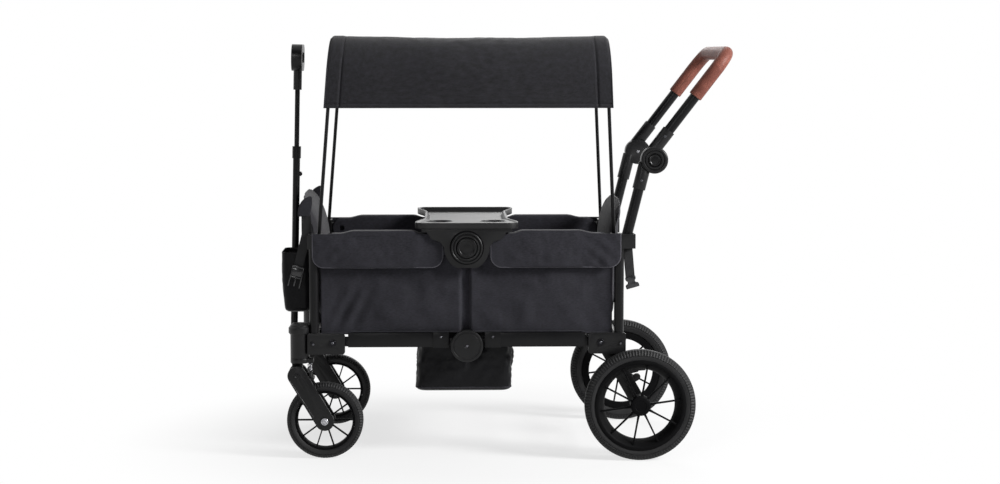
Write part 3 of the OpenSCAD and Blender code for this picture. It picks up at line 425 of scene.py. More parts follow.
def stitched_leather(name, dark, light):
    """Leatherette: a pebbled grain of about 1.5 mm, uneven in tone and darker in its creases as painted
    shade, smoother on top of the grain.
    """
    material, tree, shader = start_material(name, Specular_IOR_Level=0.28)
    where = add(tree, "ShaderNodeTexCoord").outputs["Object"]
    wander = add(tree, "ShaderNodeTexNoise", {"Vector": where, "Scale": per_mm(6), "Detail": 2.0})
    bent = add(tree, "ShaderNodeVectorMath", {0: wander.outputs["Color"], 1: (0.002, 0.002, 0.002)},
               operation="MULTIPLY")
    path = add(tree, "ShaderNodeVectorMath", {0: where, 1: bent.outputs[0]}, operation="ADD")
    pebble = add(tree, "ShaderNodeTexVoronoi", {"Vector": path.outputs[0], "Scale": per_mm(1.5)},
                 feature="DISTANCE_TO_EDGE").outputs["Distance"]
    crease = add(tree, "ShaderNodeMapRange", {"Value": pebble, "From Max": 0.25}).outputs[0]
    cloud = add(tree, "ShaderNodeTexNoise", {"Vector": where, "Scale": per_mm(35), "Detail": 3.0})
    # Tone: the cloud makes it uneven, and the creases are painted darker as painted shade
    shade = add(tree, "ShaderNodeMath", {0: crease, 1: cloud.outputs["Fac"]}, operation="MULTIPLY")
    finish_surface(tree, shader, shade.outputs[0], (dark, light), crease, 0.015, (0.6, 0.5), (0.05, 0.6))
    return material


def plated_steel(name, dark, light):
    """Plated steel: metal with a cloudy, lightly scuffed finish."""
    material, tree, shader = start_material(name, Metallic=1.0)
    where = add(tree, "ShaderNodeTexCoord").outputs["Object"]
    scuff = add(tree, "ShaderNodeTexNoise", {"Vector": where, "Scale": per_mm(3),
                                             "Detail": 5.0}).outputs["Fac"]
    finish_surface(tree, shader, scuff, (dark, light), scuff, 0.02, (0.28, 0.42))
    return material


# Frame tubes: even black, with soft highlights along each tube
TUBE = coated_tube("powder_coated_aluminium", "#08080a", "#0d0d0e", grain=1.2, rough=(0.28, 0.36), level=0.2)
# Brackets, hubs and casters: black with a fine pebble
PLASTIC = moulded("moulded_polypropylene", "#0c0c0d", "#121213", grain=1.4, depth=0.06, rough=(0.34, 0.44),
                  level=0.26)
# Buttons and pull grip: smoother, with a soft shine
SATIN = moulded("moulded_nylon_satin", "#0a0a0b", "#0f0f10", grain=2.0, depth=0.03, rough=(0.26, 0.34),
                level=0.24)
# Tyres: dull, and a little paler than the rims
TYRE = moulded("foamed_eva_tyre", "#131314", "#1a1a1b", grain=1.8, depth=0.12, rough=(0.56, 0.7), level=0.32)
# Rims: nearly black and quite matt
RIM = moulded("moulded_nylon_rim", "#060607", "#0a0a0b", grain=2.0, depth=0.03, rough=(0.55, 0.66),
              level=0.06)
# Tray: dark grey and satin
TRAY = moulded("moulded_abs_tray", "#171718", "#1d1d1e", grain=1.6, depth=0.05, rough=(0.4, 0.5), level=0.3)
# Buckles: dark grey with small bright highlights
GLOSS = moulded("moulded_acetal_gloss", "#1b1b1d", "#29292b", grain=2.4, depth=0.02, rough=(0.16, 0.26),
                level=0.5)
# Side walls and rail covers: black cloth with paler flecks, its weave along the flat cut
CLOTH = woven("woven_polyester_on_cut", "#121216", "#2a2931", pitch=1.8, depth=0.16, sheen=0.1, on_cut=True)
# Footwell and pouch: coated inside and out, so that creases catch the light; darker than the walls' cloth, as
# painted shade
BAG_CLOTH_SHADED = woven("coated_polyester_bag_painted_shade", "#08080a", "#161618", pitch=1.6, depth=0.06, sheen=0.05,
                  on_cut=True, level=0.1, rough=(0.42, 0.34))
# Canopy: black with larger clouds of pale flecks, and darker than the walls' cloth as painted shade
CANOPY_CLOTH_SHADED = woven("woven_polyester_canopy_painted_shade", "#0e0e10", "#212026", pitch=1.8, depth=0.16, sheen=0.1,
                     on_cut=True, mottled=0.45)
# Floor pads, bindings and sleeves: the same cloth on pieces without a flat cut
PAD_CLOTH = woven("woven_polyester_on_pad", "#161619", "#2a2930", pitch=1.8, depth=0.16, sheen=0.1,
                  on_cut=False)
# Seat backs: brushed, a little greyer
SEAT_CLOTH = woven("brushed_polyester_seat", "#1b1a1d", "#2e2d32", pitch=1.6, depth=0.14, sheen=0.15,
                   on_cut=False)
# Piping: a grey line round each rail cover
PIPING = woven("bias_bound_piping", "#35343a", "#4b4a51", pitch=1.2, depth=0.1, sheen=0.2, on_cut=False)
# Straps: black with fine ribs across
WEBBING = strap_webbing("ribbed_nylon_webbing", "#121213", "#1e1e20")
# Handle grip: reddish brown, with its stitching a shade darker
LEATHER = stitched_leather("pebbled_leatherette", "#54291f", "#92584a")
THREAD = woven("bonded_nylon_thread", "#4a2a22", "#6a4034", pitch=0.6, depth=0.05, sheen=0.1, on_cut=False)
# Axle, springs and bolts bright, small screws grey, pivot pins nearly black
STEEL = plated_steel("zinc_plated_steel", "#8e8e92", "#c4c4c8")
SCREW_STEEL = plated_steel("grey_phosphate_steel", "#46464a", "#6e6e73")
DARK_STEEL = plated_steel("black_zinc_steel", "#1c1c1e", "#2c2c2f")


# Softened copies of the rigid solids: the CAD mesh merged, its flat faces cleaned and its edges rounded
def softened(node, width, material, segments=2):
    solid = frame["nodes"][node]
    piece = bpy.data.objects.new(node + "_body", solid.data.copy())
    bpy.context.scene.collection.objects.link(piece)
    edit(piece)
    bpy.ops.mesh.remove_doubles(threshold=1e-5)
    bpy.ops.mesh.dissolve_limited(angle_limit=math.radians(1))
    done()
    if width:
        modify(piece, "BEVEL", width=width * MM, segments=segments, limit_method="ANGLE",
               angle_limit=math.radians(32), use_clamp_overlap=True)
    smooth(piece, 40)
    return fit(piece, NODE_BODY[node], material, NODE_SLOT[node], node)


for node in ("rear_frame_tubes", "front_frame_tubes", "handle_lower_tubes", "handle_upper_tube", "rear_hoop",
             "front_hoop", "pull_outer_tube", "pull_inner_tube"):
    softened(node, width=0, material=TUBE)
for node in ("rear_lower_rails", "front_lower_rails", "rear_upper_rails", "front_upper_rails"):
    softened(node, width=1.2, material=TUBE)
for node in ("rear_corner_brackets", "front_corner_brackets", "rear_top_brackets", "front_top_brackets",
             "handle_hub_lowers", "handle_hub_uppers", "lower_hubs", "brake_pedal", "rear_wheel_arms",
             "pull_lock_button", "upper_hubs", "caster_swivel_left", "caster_swivel_right", "caster_arm_left",
             "caster_arm_right"):
    softened(node, width=1.5, material=PLASTIC)
softened("pull_grip", width=7.0, material=SATIN, segments=4)
for node in "rear_fasteners", "front_fasteners":
    softened(node, width=0.8, material=DARK_STEEL)
softened("rear_axle", width=0, material=STEEL)

# Caster springs, which the fork arm presses together as it swings up below them; here each only gets a mesh
# of its own
ARM_PIVOT_X, ARM_PIVOT_Z, ARM_TRAVEL, SPRING_ROOM = -452, 225, math.radians(8), 1.15
for name, side in SIDES:
    spring = softened("caster_spring_" + name, width=0, material=STEEL)
    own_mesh(spring)


# Canopy: one sheet over both hoops, with a hem, hoop sleeves and bound ends
HEM_Z, CANOPY_TOP, HOOP_FOOT_Z, HOOP_FOOT_X = 934, 1126, 576, 395
FRONT_HOOP_SLOPE, REAR_HOOP_SLOPE = math.tan(math.radians(4.5)), math.tan(math.radians(2.5))
ARCH_HALF, ARCH_BEND = 239.9, 112.9
ARCH_SIDE = CANOPY_TOP - 1.5 - HEM_Z - ARCH_BEND
ARCH_FLAT = ARCH_HALF - ARCH_BEND
ARCH_TURN = ARCH_BEND * math.pi / 2
ARCH_RUN = 2 * (ARCH_SIDE + ARCH_TURN + ARCH_FLAT)
CANOPY_END, CANOPY_SAG, HEM_DEEP, SLEEVE_WIDE, TURN_DOWN = 10, 5, 11, 38, 8
DOUBLED, HEM_GROOVE, SLEEVE_GROOVE, CROWDING = 1.2, 2.4, 2.8, 0.6
CANOPY_CUT = 0.76, ARCH_RUN * MM


def arch_spot(run):
    """Place across the wagon (Y, Z above the hem) and outward direction at a run along the canopy's arch."""
    side = -1 if run < ARCH_RUN / 2 else 1
    run = min(run, ARCH_RUN - run)
    if run < ARCH_SIDE:
        return side * ARCH_HALF, run, side, 0
    turn = (run - ARCH_SIDE) / ARCH_BEND
    if turn < math.pi / 2:
        return (side * (ARCH_FLAT + ARCH_BEND * math.cos(turn)), ARCH_SIDE + ARCH_BEND * math.sin(turn),
                side * math.cos(turn), math.sin(turn))
    return side * (ARCH_RUN / 2 - run), ARCH_SIDE + ARCH_BEND, 0, 1


def canopy_spot(u, v, lift=0.0):
    """Point of the canopy at shares along and across it, crowded where hems and sleeves are sewn."""
    v -= CROWDING * math.sin(2 * math.pi * v) / (2 * math.pi)
    y, high, out_y, out_z = arch_spot(v * ARCH_RUN)
    s = 2 * u - 1
    s += CROWDING * math.sin(math.pi * s) / math.pi
    slope = FRONT_HOOP_SLOPE if s < 0 else REAR_HOOP_SLOPE
    reach = HOOP_FOOT_X - (HEM_Z + high - HOOP_FOOT_Z) * slope + CANOPY_END
    between = max(0, 1 - (s / 0.9) ** 2)
    dip = CANOPY_SAG * between * (high / (ARCH_SIDE + ARCH_BEND)) ** 2
    from_edge = min(v, 1 - v) * ARCH_RUN
    from_end = (1 - abs(s)) * reach
    lift += DOUBLED if min(from_edge / HEM_DEEP, from_end / SLEEVE_WIDE) < 1 else 0
    lift -= SLEEVE_GROOVE * math.exp(-((from_end - SLEEVE_WIDE) / 3) ** 2)
    lift -= HEM_GROOVE * math.exp(-((from_edge - HEM_DEEP) / 2.5) ** 2)
    lift -= TURN_DOWN * max(0, 1 - from_end / CANOPY_END) ** 2 * (high / (ARCH_SIDE + ARCH_BEND)) ** 3
    point = at(s * reach, y + out_y * lift, HEM_Z + high + out_z * lift - dip)
    ripple = rumple(point, 120, 3.4 * between) + rumple(point * 1.7, 45, 1.3 * between)
    return point + Vector((0, out_y, out_z)) * ripple


canopy = cloth_grid("canopy", 200, 200, canopy_spot, CANOPY_CUT)
tidy_mesh(canopy)
modify(canopy, "SOLIDIFY", thickness=1.4 * MM, offset=0)
ends = [cord_along(f"canopy_binding_{k}", [canopy_spot(u, j / 120, 0.4) for j in range(121)], 1.7)
        for k, u in (("front", 0.0), ("rear", 1.0))]
fit(canopy, "rear_frame", CANOPY_CLOTH_SHADED, "cloth_black", "canopy_cover")
for piece in ends:
    fit(piece, "rear_frame", PAD_CLOTH, "cloth_black")
for piece in [canopy] + ends:
    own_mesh(piece)

# Side walls: cloth stretched between the rails, with a seam at the fold
WALL_END, WALL_LOW, WALL_HIGH, WALL_Y = 388, 340, 545, 260
PLEAT_X, PLEAT_DEEP, PLEAT_CLOTH, CORNER_DROP = -4, 11, 16, 4.4
WALL_CUT = (2 * WALL_END + PLEAT_CLOTH) * MM, (WALL_HIGH - WALL_LOW) * MM
CREASE_DEEP, CREASE_RIGHT, CREASE_UP = 5, 0.55, 0.83


def wall_spot(side):
    """The wall on one side: slack, pleated in the middle, creased from its lower front corner."""
    def spot(u, v):
        x = WALL_END * (2 * u - 1)
        low = WALL_LOW - CORNER_DROP * eased(abs(x), 306, 314)
        z = low + (WALL_HIGH - low) * v
        held = (1 - (2 * u - 1) ** 8) * (1 - (2 * v - 1) ** 6)
        point = at(x, side * WALL_Y, z)
        slack = rumple(point, 150, 14 * held) + rumple(point * 1.3, 52, 4.4 * held)
        slack -= PLEAT_DEEP * MM * (1 - eased(abs(x - PLEAT_X), 9, 16))
        right, up = x + WALL_END, z - WALL_LOW
        along, off = right * CREASE_RIGHT + up * CREASE_UP, right * CREASE_UP - up * CREASE_RIGHT
        pull = math.exp(-((off - 30) / 42) ** 2) * math.exp(-((along - 70) / 75) ** 2)
        slack += CREASE_DEEP * MM * pull * math.sin(off / 6.5 + along / 60) * held
        return point + Vector((0, side * slack, 0))
    return spot


for name, side in SIDES:
    wall = cloth_grid("side_wall_" + name, 260, 60, wall_spot(side), WALL_CUT)
    tidy_mesh(wall)
    modify(wall, "SOLIDIFY", thickness=1.6 * MM, offset=0)
    fit(wall, "rear_frame", CLOTH, "cloth_black", "side_walls")
    welt = cord_along("wall_welt_" + name, [wall_spot(side)(i / 200, 0) for i in range(201)], 2.6)
    fit(welt, "rear_frame", PAD_CLOTH, "cloth_black")
    for piece in wall, welt:
        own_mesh(piece)

# Padded covers over the upper rails: an outer panel with round lower corners, a roll over the rail and piping
FLAP_START, FLAP_END, FLAP_LOW, FLAP_HIGH, FLAP_ROUND = 64, 408, 514, 603, 30
FLAP_OUT, FLAP_IN, ROLL_LOW, ROLL_TOP, FLAP_LIFT = 278.7, 242.4, 550, 602.8, 7.5
PIVOT_X, UPPER_PIVOT_Z, LOWER_PIVOT_Z, ROLL_ROUND = 357, 575, 312, 27.6
ROLL_CORNER, ROLL_LAP, HUB_EDGE, HUB_EASE = 7, 12, 100, 30
LIFT_FROM, LIFT_FULL, DROP_FROM, DROP_END = 118, 150, 296, 338
PANEL_CUT, ROLL_LONG = (0.344, 0.089), 0.276


def flap_limits(z):
    """Where the panel starts and ends along the wagon at a height, with its lower corners rounded."""
    rise = min(z - FLAP_LOW, FLAP_ROUND)
    inset = FLAP_ROUND - math.sqrt(FLAP_ROUND ** 2 - (FLAP_ROUND - rise) ** 2)
    return FLAP_START + inset, FLAP_END - inset


def raised(x):
    """How far the cover stands above the rail, away from the hub's shelf and from the pivot."""
    return FLAP_LIFT * eased(x, LIFT_FROM, LIFT_FULL) * (1 - eased(x, DROP_FROM, DROP_END))


def flap_spot(way, side):
    """The outer panel of the cover at one end and side: swollen, with creases towards the post."""
    def spot(u, v):
        z = FLAP_LOW + (FLAP_HIGH - FLAP_LOW) * (1 - math.cos(math.pi * v / 2)) if v < 1 else FLAP_HIGH
        low, high = flap_limits(z)
        x = low + (high - low) * u
        full = (1 - (2 * u - 1) ** 6) * (1 - (2 * v - 1) ** 4)
        clear_of_hub = min(1, max(0, (x - HUB_EDGE) / HUB_EASE))
        point = at(way * x, side * FLAP_OUT, z)
        swell = 2.6 * full + rumple(point, 85, 5.0) / MM + rumple(point * 1.6, 34, 1.6) / MM
        creases = math.sin((0.7 * x + 0.9 * (z - FLAP_LOW)) / 6)
        swell += 1.8 * full * math.exp(-((x - 365) / 45) ** 2) * creases
        swell = max(swell, -0.4) * clear_of_hub
        return point + Vector((0, side * swell, raised(x) * v * v)) * MM
    return spot


def roll_spot(way, side):
    """The cover's roll over the rail, up outside, across the top and down inside, with the length of that."""
    turn = ROLL_CORNER * math.pi / 2
    top = ROLL_TOP - ROLL_CORNER
    lengths = [top - FLAP_HIGH + ROLL_LAP, turn, FLAP_OUT - FLAP_IN - 2 * ROLL_CORNER, turn, top - ROLL_LOW]
    ends = [sum(lengths[:k + 1]) for k in range(5)]

    def spot(u, v):
        run = v * ends[4]
        if run < ends[0]:
            y, z = FLAP_OUT, FLAP_HIGH - ROLL_LAP + run
        elif run < ends[1]:
            a = (run - ends[0]) / ROLL_CORNER
            y, z = FLAP_OUT - ROLL_CORNER + ROLL_CORNER * math.cos(a), top + ROLL_CORNER * math.sin(a)
        elif run < ends[2]:
            y, z = FLAP_OUT - ROLL_CORNER - (run - ends[1]), ROLL_TOP
        elif run < ends[3]:
            a = (run - ends[2]) / ROLL_CORNER
            y, z = FLAP_IN + ROLL_CORNER - ROLL_CORNER * math.sin(a), top + ROLL_CORNER * math.cos(a)
        else:
            y, z = FLAP_IN, top - (run - ends[3])
        end = PIVOT_X + math.sqrt(max(0, ROLL_ROUND ** 2 - (z - UPPER_PIVOT_Z) ** 2))
        x = FLAP_START + (end - FLAP_START) * u
        point = at(way * x, side * y, z + raised(x) * eased(z, UPPER_PIVOT_Z, ROLL_TOP))
        soft = max(0, 1 - (2 * u - 1) ** 10) * rumple(point, 70, 1.4)
        return point + Vector((0, -side * max(0, soft), 0))
    return spot, ends[4]


for end, way in ("rear", 1), ("front", -1):
    for name, side in SIDES:
        panel = cloth_grid(f"flap_panel_{end}_{name}", 90, 26, flap_spot(way, side), PANEL_CUT)
        tidy_mesh(panel)
        modify(panel, "SOLIDIFY", thickness=3.2 * MM, offset=0)
        modify(panel, "BEVEL", width=1.2 * MM, segments=2, limit_method="ANGLE", angle_limit=math.radians(50))
        smooth(panel, 60)
        spot, run = roll_spot(way, side)
        roll = cloth_grid(f"flap_roll_{end}_{name}", 70, 40, spot, (ROLL_LONG, run * MM))
        tidy_mesh(roll)
        modify(roll, "SOLIDIFY", thickness=2.8 * MM, offset=0)
        edge = flap_spot(way, side)
        path = [edge(0, 1 - j / 30) for j in range(30)] + [edge(i / 60, 0) for i in range(61)]
        path += [edge(1, j / 30) for j in range(1, 31)]
        piping = cord_along(f"flap_piping_{end}_{name}", path, 1.9)
        flap = f"{end}_side_flaps"
        body = f"{end}_upper_rails"
        fit(panel, body, CLOTH, "cloth_black", flap)
        fit(roll, body, CLOTH, "cloth_black", flap)
        fit(piping, body, PIPING, "cloth_black")


# Bags: shells lofted round a rounded box, sagging between their corners
GATHERS = 34


def bag(name, low, high, taper, corner, sag, crumple, around=120, down=44, across=14):
    """Open-topped bag between two corners.
    Taper moves the front and rear at the top, sag swells the walls and crumple creases them."""
    middle = [(a + b) / 2 for a, b in zip(low, high)]
    half_x, half_y = (high[0] - low[0]) / 2, (high[1] - low[1]) / 2
    depth = high[2] - low[2]
    straight = 4 * (half_x + half_y - 2 * corner)
    ring = straight + 2 * math.pi * corner

    def rim_spot(run):
        """Point and outward direction round the rounded rectangle."""
        flat_x, flat_y = half_x - corner, half_y - corner
        sides = (1, 0, flat_y), (0, 1, flat_x), (-1, 0, flat_y), (0, -1, flat_x)
        for k, (nx, ny, length) in enumerate(sides):
            if run < 2 * length:
                along = run - length
                return (nx * half_x - ny * along, ny * half_y + nx * along), (nx, ny)
            run -= 2 * length
            if run < math.pi * corner / 2:
                turn = run / corner + k * math.pi / 2
                cx, cy = (1, -1, -1, 1)[k] * flat_x, (1, 1, -1, -1)[k] * flat_y
                nx, ny = math.cos(turn), math.sin(turn)
                return (cx + corner * nx, cy + corner * ny), (nx, ny)
            run -= math.pi * corner / 2
        return (half_x, -flat_y), (1, 0)

    def spot(u, v):
        (x, y), (nx, ny) = rim_spot(u * ring % ring)
        fall = min(1, v * (down + across) / down)
        inward = max(0, (v * (down + across) - down) / across)
        z = high[2] - depth * fall
        rounding = corner * 0.7
        if inward == 0:
            near_foot = max(0, 1 - (1 - fall) * depth / rounding)
            shrink = rounding * (1 - math.sqrt(1 - near_foot ** 2))
        else:
            shrink = rounding
        share = (1 - inward) * (1 - shrink / max(half_x, half_y))
        x, y = x * share, y * share
        swell = sag * math.sin(math.pi * fall) * (1 - inward)
        lean = taper[0] * (1 - fall) if x < 0 else taper[1] * (1 - fall)
        droop = sag * 0.8 * (1 - (1 - inward) ** 2) if inward else 0
        point = at(middle[0] + x + nx * swell + lean, middle[1] + y + ny * swell, z - droop)
        loose = math.sin(math.pi * min(1, fall * 1.02)) if inward == 0 else 0.6
        slack = rumple(point, 60, crumple * loose) + rumple(point * 1.4, 24, crumple * 0.4 * loose)
        slack += math.sin((u * GATHERS + 3 * fall) * 2 * math.pi) * 0.25 * crumple * MM * loose
        return point + Vector((nx, ny, 0)) * slack * (1 - inward) + Vector((0, 0, 1)) * slack * inward
    return cloth_grid(name, around, down + across, spot, (ring * MM, (depth + half_x) * MM), around=True)


WELL_FRONT, WELL_REAR, WELL_HALF, WELL_LOW, WELL_TOP = -136, 119, 233, 175, 336
WELL_CORNER, WELT_Z = 22, 184
well = bag("footwell_bag", (WELL_FRONT, -WELL_HALF, WELL_LOW), (WELL_REAR, WELL_HALF, WELL_TOP),
           taper=(20, -4), corner=WELL_CORNER, sag=4, crumple=10)
tidy_mesh(well, 1e-5)
modify(well, "SOLIDIFY", thickness=1.8 * MM, offset=0)
fit(well, NODE_BODY["footwell"], BAG_CLOTH_SHADED, "cloth_black", "footwell")
well_edge = rounded((WELL_REAR - WELL_FRONT) / 2, WELL_HALF, WELL_CORNER, WELT_Z,
                    middle=(WELL_FRONT + WELL_REAR) / 2)
well_welt = cord_along("footwell_welt", well_edge, 2.2, True)
fit(well_welt, NODE_BODY["footwell"], PAD_CLOTH, "cloth_black")
for piece in well, well_welt:
    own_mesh(piece)

pouch = bag("front_pouch_bag", (-486.5, -213, 388), (-418.8, -75, 549), taper=(-8, 0), corner=16, sag=2.5,
            crumple=1.8, around=90, down=36, across=10)
tidy_mesh(pouch, 1e-5)
modify(pouch, "SOLIDIFY", thickness=1.6 * MM, offset=0)
fit(pouch, "front_frame", BAG_CLOTH_SHADED, "cloth_black", "front_pouch")


# Padded seat backs and floor boards, swollen by a cloth simulation
PRESSURE, SWELL_STEPS, CURL_FROM, SEAT_CURL, FACING = 4, 20, 600, 22, 0.35


def stuffed(node, name, material, slot, shrink, cap, voxel, floor_z=None, curl=0):
    """A pad made from a solid: remeshed, drawn in by shrink and swollen by at most cap, in millimetres.
    A seat back's top curls away from the seat, and its back wears the plain cloth."""
    solid = frame["nodes"][node]
    piece = bpy.data.objects.new(name, solid.data.copy())
    bpy.context.scene.collection.objects.link(piece)
    tidy_mesh(piece, 1e-5, False)
    modify(piece, "REMESH", mode="VOXEL", voxel_size=voxel * MM)
    for _ in range(3):
        modify(piece, "SMOOTH", factor=0.5, iterations=2)
    modify(piece, "DISPLACE", strength=-shrink * MM, mid_level=0.0)
    before = [v.co.copy() for v in piece.data.vertices]
    pick(piece)
    bpy.ops.object.modifier_add(type="CLOTH")
    cloth = piece.modifiers[-1]
    cloth.settings.use_pressure = True
    cloth.settings.uniform_pressure_force = PRESSURE
    cloth.settings.effector_weights.gravity = 0
    cloth.settings.quality = 4
    cloth.point_cache.frame_start = 1
    cloth.point_cache.frame_end = SWELL_STEPS
    for step in range(1, SWELL_STEPS + 1):
        bpy.context.scene.frame_set(step)
    bpy.ops.object.modifier_apply(modifier=cloth.name)
    bpy.context.scene.frame_set(1)
    for vertex, start in zip(piece.data.vertices, before):
        way = vertex.co - start
        if way.length > cap * MM:
            vertex.co = start + way.normalized() * cap * MM
    for vertex in piece.data.vertices:
        if floor_z is not None:
            vertex.co.z = max(vertex.co.z, floor_z)
        vertex.co.x += curl * MM * max(0, (vertex.co.z / MM - CURL_FROM) / 100) ** 2
    modify(piece, "SUBSURF", levels=1, render_levels=1)
    smooth(piece, 70)
    fit(piece, NODE_BODY[node], material, slot, node)
    if curl:
        piece.data.materials.append(PAD_CLOTH)
        for face in piece.data.polygons:
            face.material_index = 0 if face.normal.x * curl < -FACING * abs(curl) else 1


for end, curl in ("rear", SEAT_CURL), ("front", -SEAT_CURL):
    stuffed(f"{end}_seat_back", f"{end}_seat_back_pad", SEAT_CLOTH, "seat_grey", shrink=3.0, cap=6, voxel=6,
            curl=curl)
    stuffed(f"{end}_floor_board", f"{end}_floor_pad", PAD_CLOTH, "cloth_black", shrink=1.5, cap=4, voxel=5,
            floor_z=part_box(f"{end}_floor_board")[0].z)


# Straps: ribbed webbing with side release buckles, and a padded sleeve beside the front seat back
WEB_HALF, WEB_THICK, REAR_STRAP_Y, FRONT_STRAP_Y = 12.5, 0.9, 250, 220.9
SLEEVE_X, SLEEVE_Z, SLEEVE_HALF = -428, 645, 6


def leaned(piece, angle, centre):
    """Turn a piece about the direction across the wagon, through a point in the frame's metres."""
    turn = Matrix.Rotation(angle, 4, "Y")
    piece.data.transform(Matrix.Translation(centre) @ turn @ Matrix.Translation(-centre))
    return piece


def cut_slab(name, points, y0, y1, round_by, segments=3):
    """A flat piece cut to points (x, z) between two depths, in millimetres, with its edges rounded."""
    piece = outline(name, [at(x, y0, z) for x, z in points])
    edit(piece)
    bpy.ops.mesh.edge_face_add()
    bpy.ops.mesh.extrude_region_move(TRANSFORM_OT_translate={"value": (0, (y1 - y0) * MM, 0)})
    done()
    tidy_mesh(piece)
    modify(piece, "BEVEL", width=round_by * MM, segments=segments, limit_method="ANGLE",
           angle_limit=math.radians(30), use_clamp_overlap=True)
    return smooth(piece, 50)


def flat_strap(name, x, top, foot, y):
    """A straight length of webbing."""
    return block(name, (x - WEB_HALF, y - WEB_THICK, foot), (x + WEB_HALF, y + WEB_THICK, top), 0.6)


def webbing(name, x, top, foot, y):
    """A strap hanging a little wavy."""
    band = flat_strap(name + "_webbing", x, top, foot, y)
    edit(band, "FACE")
    bpy.ops.mesh.subdivide(number_cuts=12)
    done()
    for vertex in band.data.vertices:
        vertex.co.y += 0.8 * MM * math.sin(vertex.co.z / (13 * MM))
    return band


def long_buckle(name, x, foot, y):
    """Side release buckle: the webbing bar with its frame, and three prongs below."""
    spans = [(-17, 17, 3, 9, 4), (-17, -13, -50, 6, 4), (13, 17, -50, 6, 4), (-16, 16, -25, -20, 3.6),
             (-2.4, 2.4, -47, -22, 3.2), (-16, 16, -20, 2, 1.8)]
    parts = [block(f"{name}_{k}", (x + left, y - half, foot + low), (x + right, y + half, foot + high), 1.5)
             for k, (left, right, low, high, half) in enumerate(spans)]
    return joined(name + "_buckle", parts)


def short_buckle(name, x, foot, y):
    """The other half of such a buckle, drawn in below its bar."""
    edge = [(-14, 2), (14, 2), (14, -6), (10, -10), (10, -15), (18, -19), (18, -29),
            (-18, -29), (-18, -19), (-10, -15), (-10, -10), (-14, -6)]
    return cut_slab(name + "_buckle", [(x + dx, foot + dz) for dx, dz in edge], y - 4.4, y + 4.4, 1.8)


def strap(name, x, top, length, y, lean, hang, buckle, body, node):
    """Webbing that leans from its top, with a buckle that hangs at a further angle from its foot."""
    foot = top - length
    for piece, material in ((webbing(name, x, top, foot, y), WEBBING), (buckle(name, x, foot, y), GLOSS)):
        if piece.name.endswith("buckle"):
            leaned(piece, hang, at(x, 0, foot))
        leaned(piece, lean, at(x, 0, top))
        fit(piece, body, material, "webbing_black", node)


SLEEVE_EDGE = [(-22, 0), (8, 0), (13, 13), (15, 26), (17, 42), (16, 54), (9, 55), (-5, 48), (-12, 41),
               (-17, 33), (-21, 20)]
for name, side in SIDES:
    y = side * FRONT_STRAP_Y
    strap("rear_strap_" + name, x=430, top=560.5, length=78, y=side * REAR_STRAP_Y, lean=-math.radians(5),
          hang=-math.radians(11), buckle=short_buckle, body="rear_frame", node="rear_straps")
    strap("front_strap_" + name, x=SLEEVE_X, top=596, length=95, y=y, lean=math.radians(14),
          hang=0, buckle=long_buckle, body="front_frame", node="front_straps")
    riser = flat_strap("front_riser_" + name, SLEEVE_X, SLEEVE_Z + 6, 592, y)
    edge = [(SLEEVE_X + dx, SLEEVE_Z + dz) for dx, dz in SLEEVE_EDGE]
    sleeve = cut_slab("front_strap_sleeve_" + name, edge, y - SLEEVE_HALF, y + SLEEVE_HALF, 4.5, 4)
    modify(sleeve, "SUBSURF", levels=1, render_levels=1)
    smooth(sleeve, 80)
    fit(riser, "front_frame", WEBBING, "webbing_black", "front_straps")
    fit(sleeve, "front_frame", PAD_CLOTH, "webbing_black", "front_straps")


# Wheels: foam tyres with a ribbed shoulder, dished rims with ten spokes
RIB_DEEP, RIB_FROM, RIB_SIDE, SPOKES = 1.9, 0.65, 0.55, 10
REAR_CENTRE, FRONT_CENTRE = (460, -303, 148), (-379, -252, 102)


def tyre(name, radius, inner, half, ribs):
    """A tyre between two radii; its profile is in shares of its depth and of its half width."""
    deep = radius - inner
    side = [(0, 0.68), (0.04, 0.8), (0.1, 0.86), (0.24, 0.92), (0.36, 0.98), (0.46, 1.0), (0.52, 0.99),
            (0.545, 0.93), (0.575, 0.93), (0.6, 0.985), (0.7, 0.96), (0.8, 0.9), (0.89, 0.81), (0.95, 0.71),
            (0.985, 0.6), (0.99, 0.5), (0.955, 0.46), (0.955, 0.4), (0.99, 0.36), (1.0, 0.12)]
    profile = [(inner + deep * a, half * b) for a, b in side]
    profile += [(r, -y) for r, y in reversed(profile)]
    piece = lathe(name, profile, 4 * ribs, 40)
    step = math.pi / (2 * ribs)
    for vertex in piece.data.vertices:
        out = math.hypot(vertex.co.x, vertex.co.z)
        share = (out / MM - inner) / deep
        groove = round(math.atan2(vertex.co.z, vertex.co.x) / step) % 4 < 2
        if groove and share > RIB_FROM and abs(vertex.co.y) > RIB_SIDE * half * MM:
            vertex.co.x *= 1 - RIB_DEEP * MM / out
            vertex.co.z *= 1 - RIB_DEEP * MM / out
            vertex.co.y -= math.copysign(RIB_DEEP * MM, vertex.co.y)
    return piece


def spoked(name, barrel, hub, spoke, depth, turn, centre):
    """Rim with its hub and its spokes about a centre in millimetres; a spoke is given by its upper edge."""
    x, y, z = centre
    middle = at(x, y, z)
    parts = [moved(lathe(name + "_barrel", barrel, 128), middle)]
    parts.append(moved(lathe(name + "_hub", hub, 64), middle))
    edge = [(x + dx, z - dz) for dx, dz in spoke] + [(x + dx, z + dz) for dx, dz in reversed(spoke)]
    first = cut_slab(name + "_spoke", edge, y + depth[0], y + depth[1], 0.8, 2)
    for k in range(SPOKES):
        angle = -math.radians(turn + 360 / SPOKES * k)
        parts.append(leaned(copied(first, f"{name}_spoke_{k}"), angle, middle))
    bpy.data.objects.remove(first)
    return joined(name, parts)


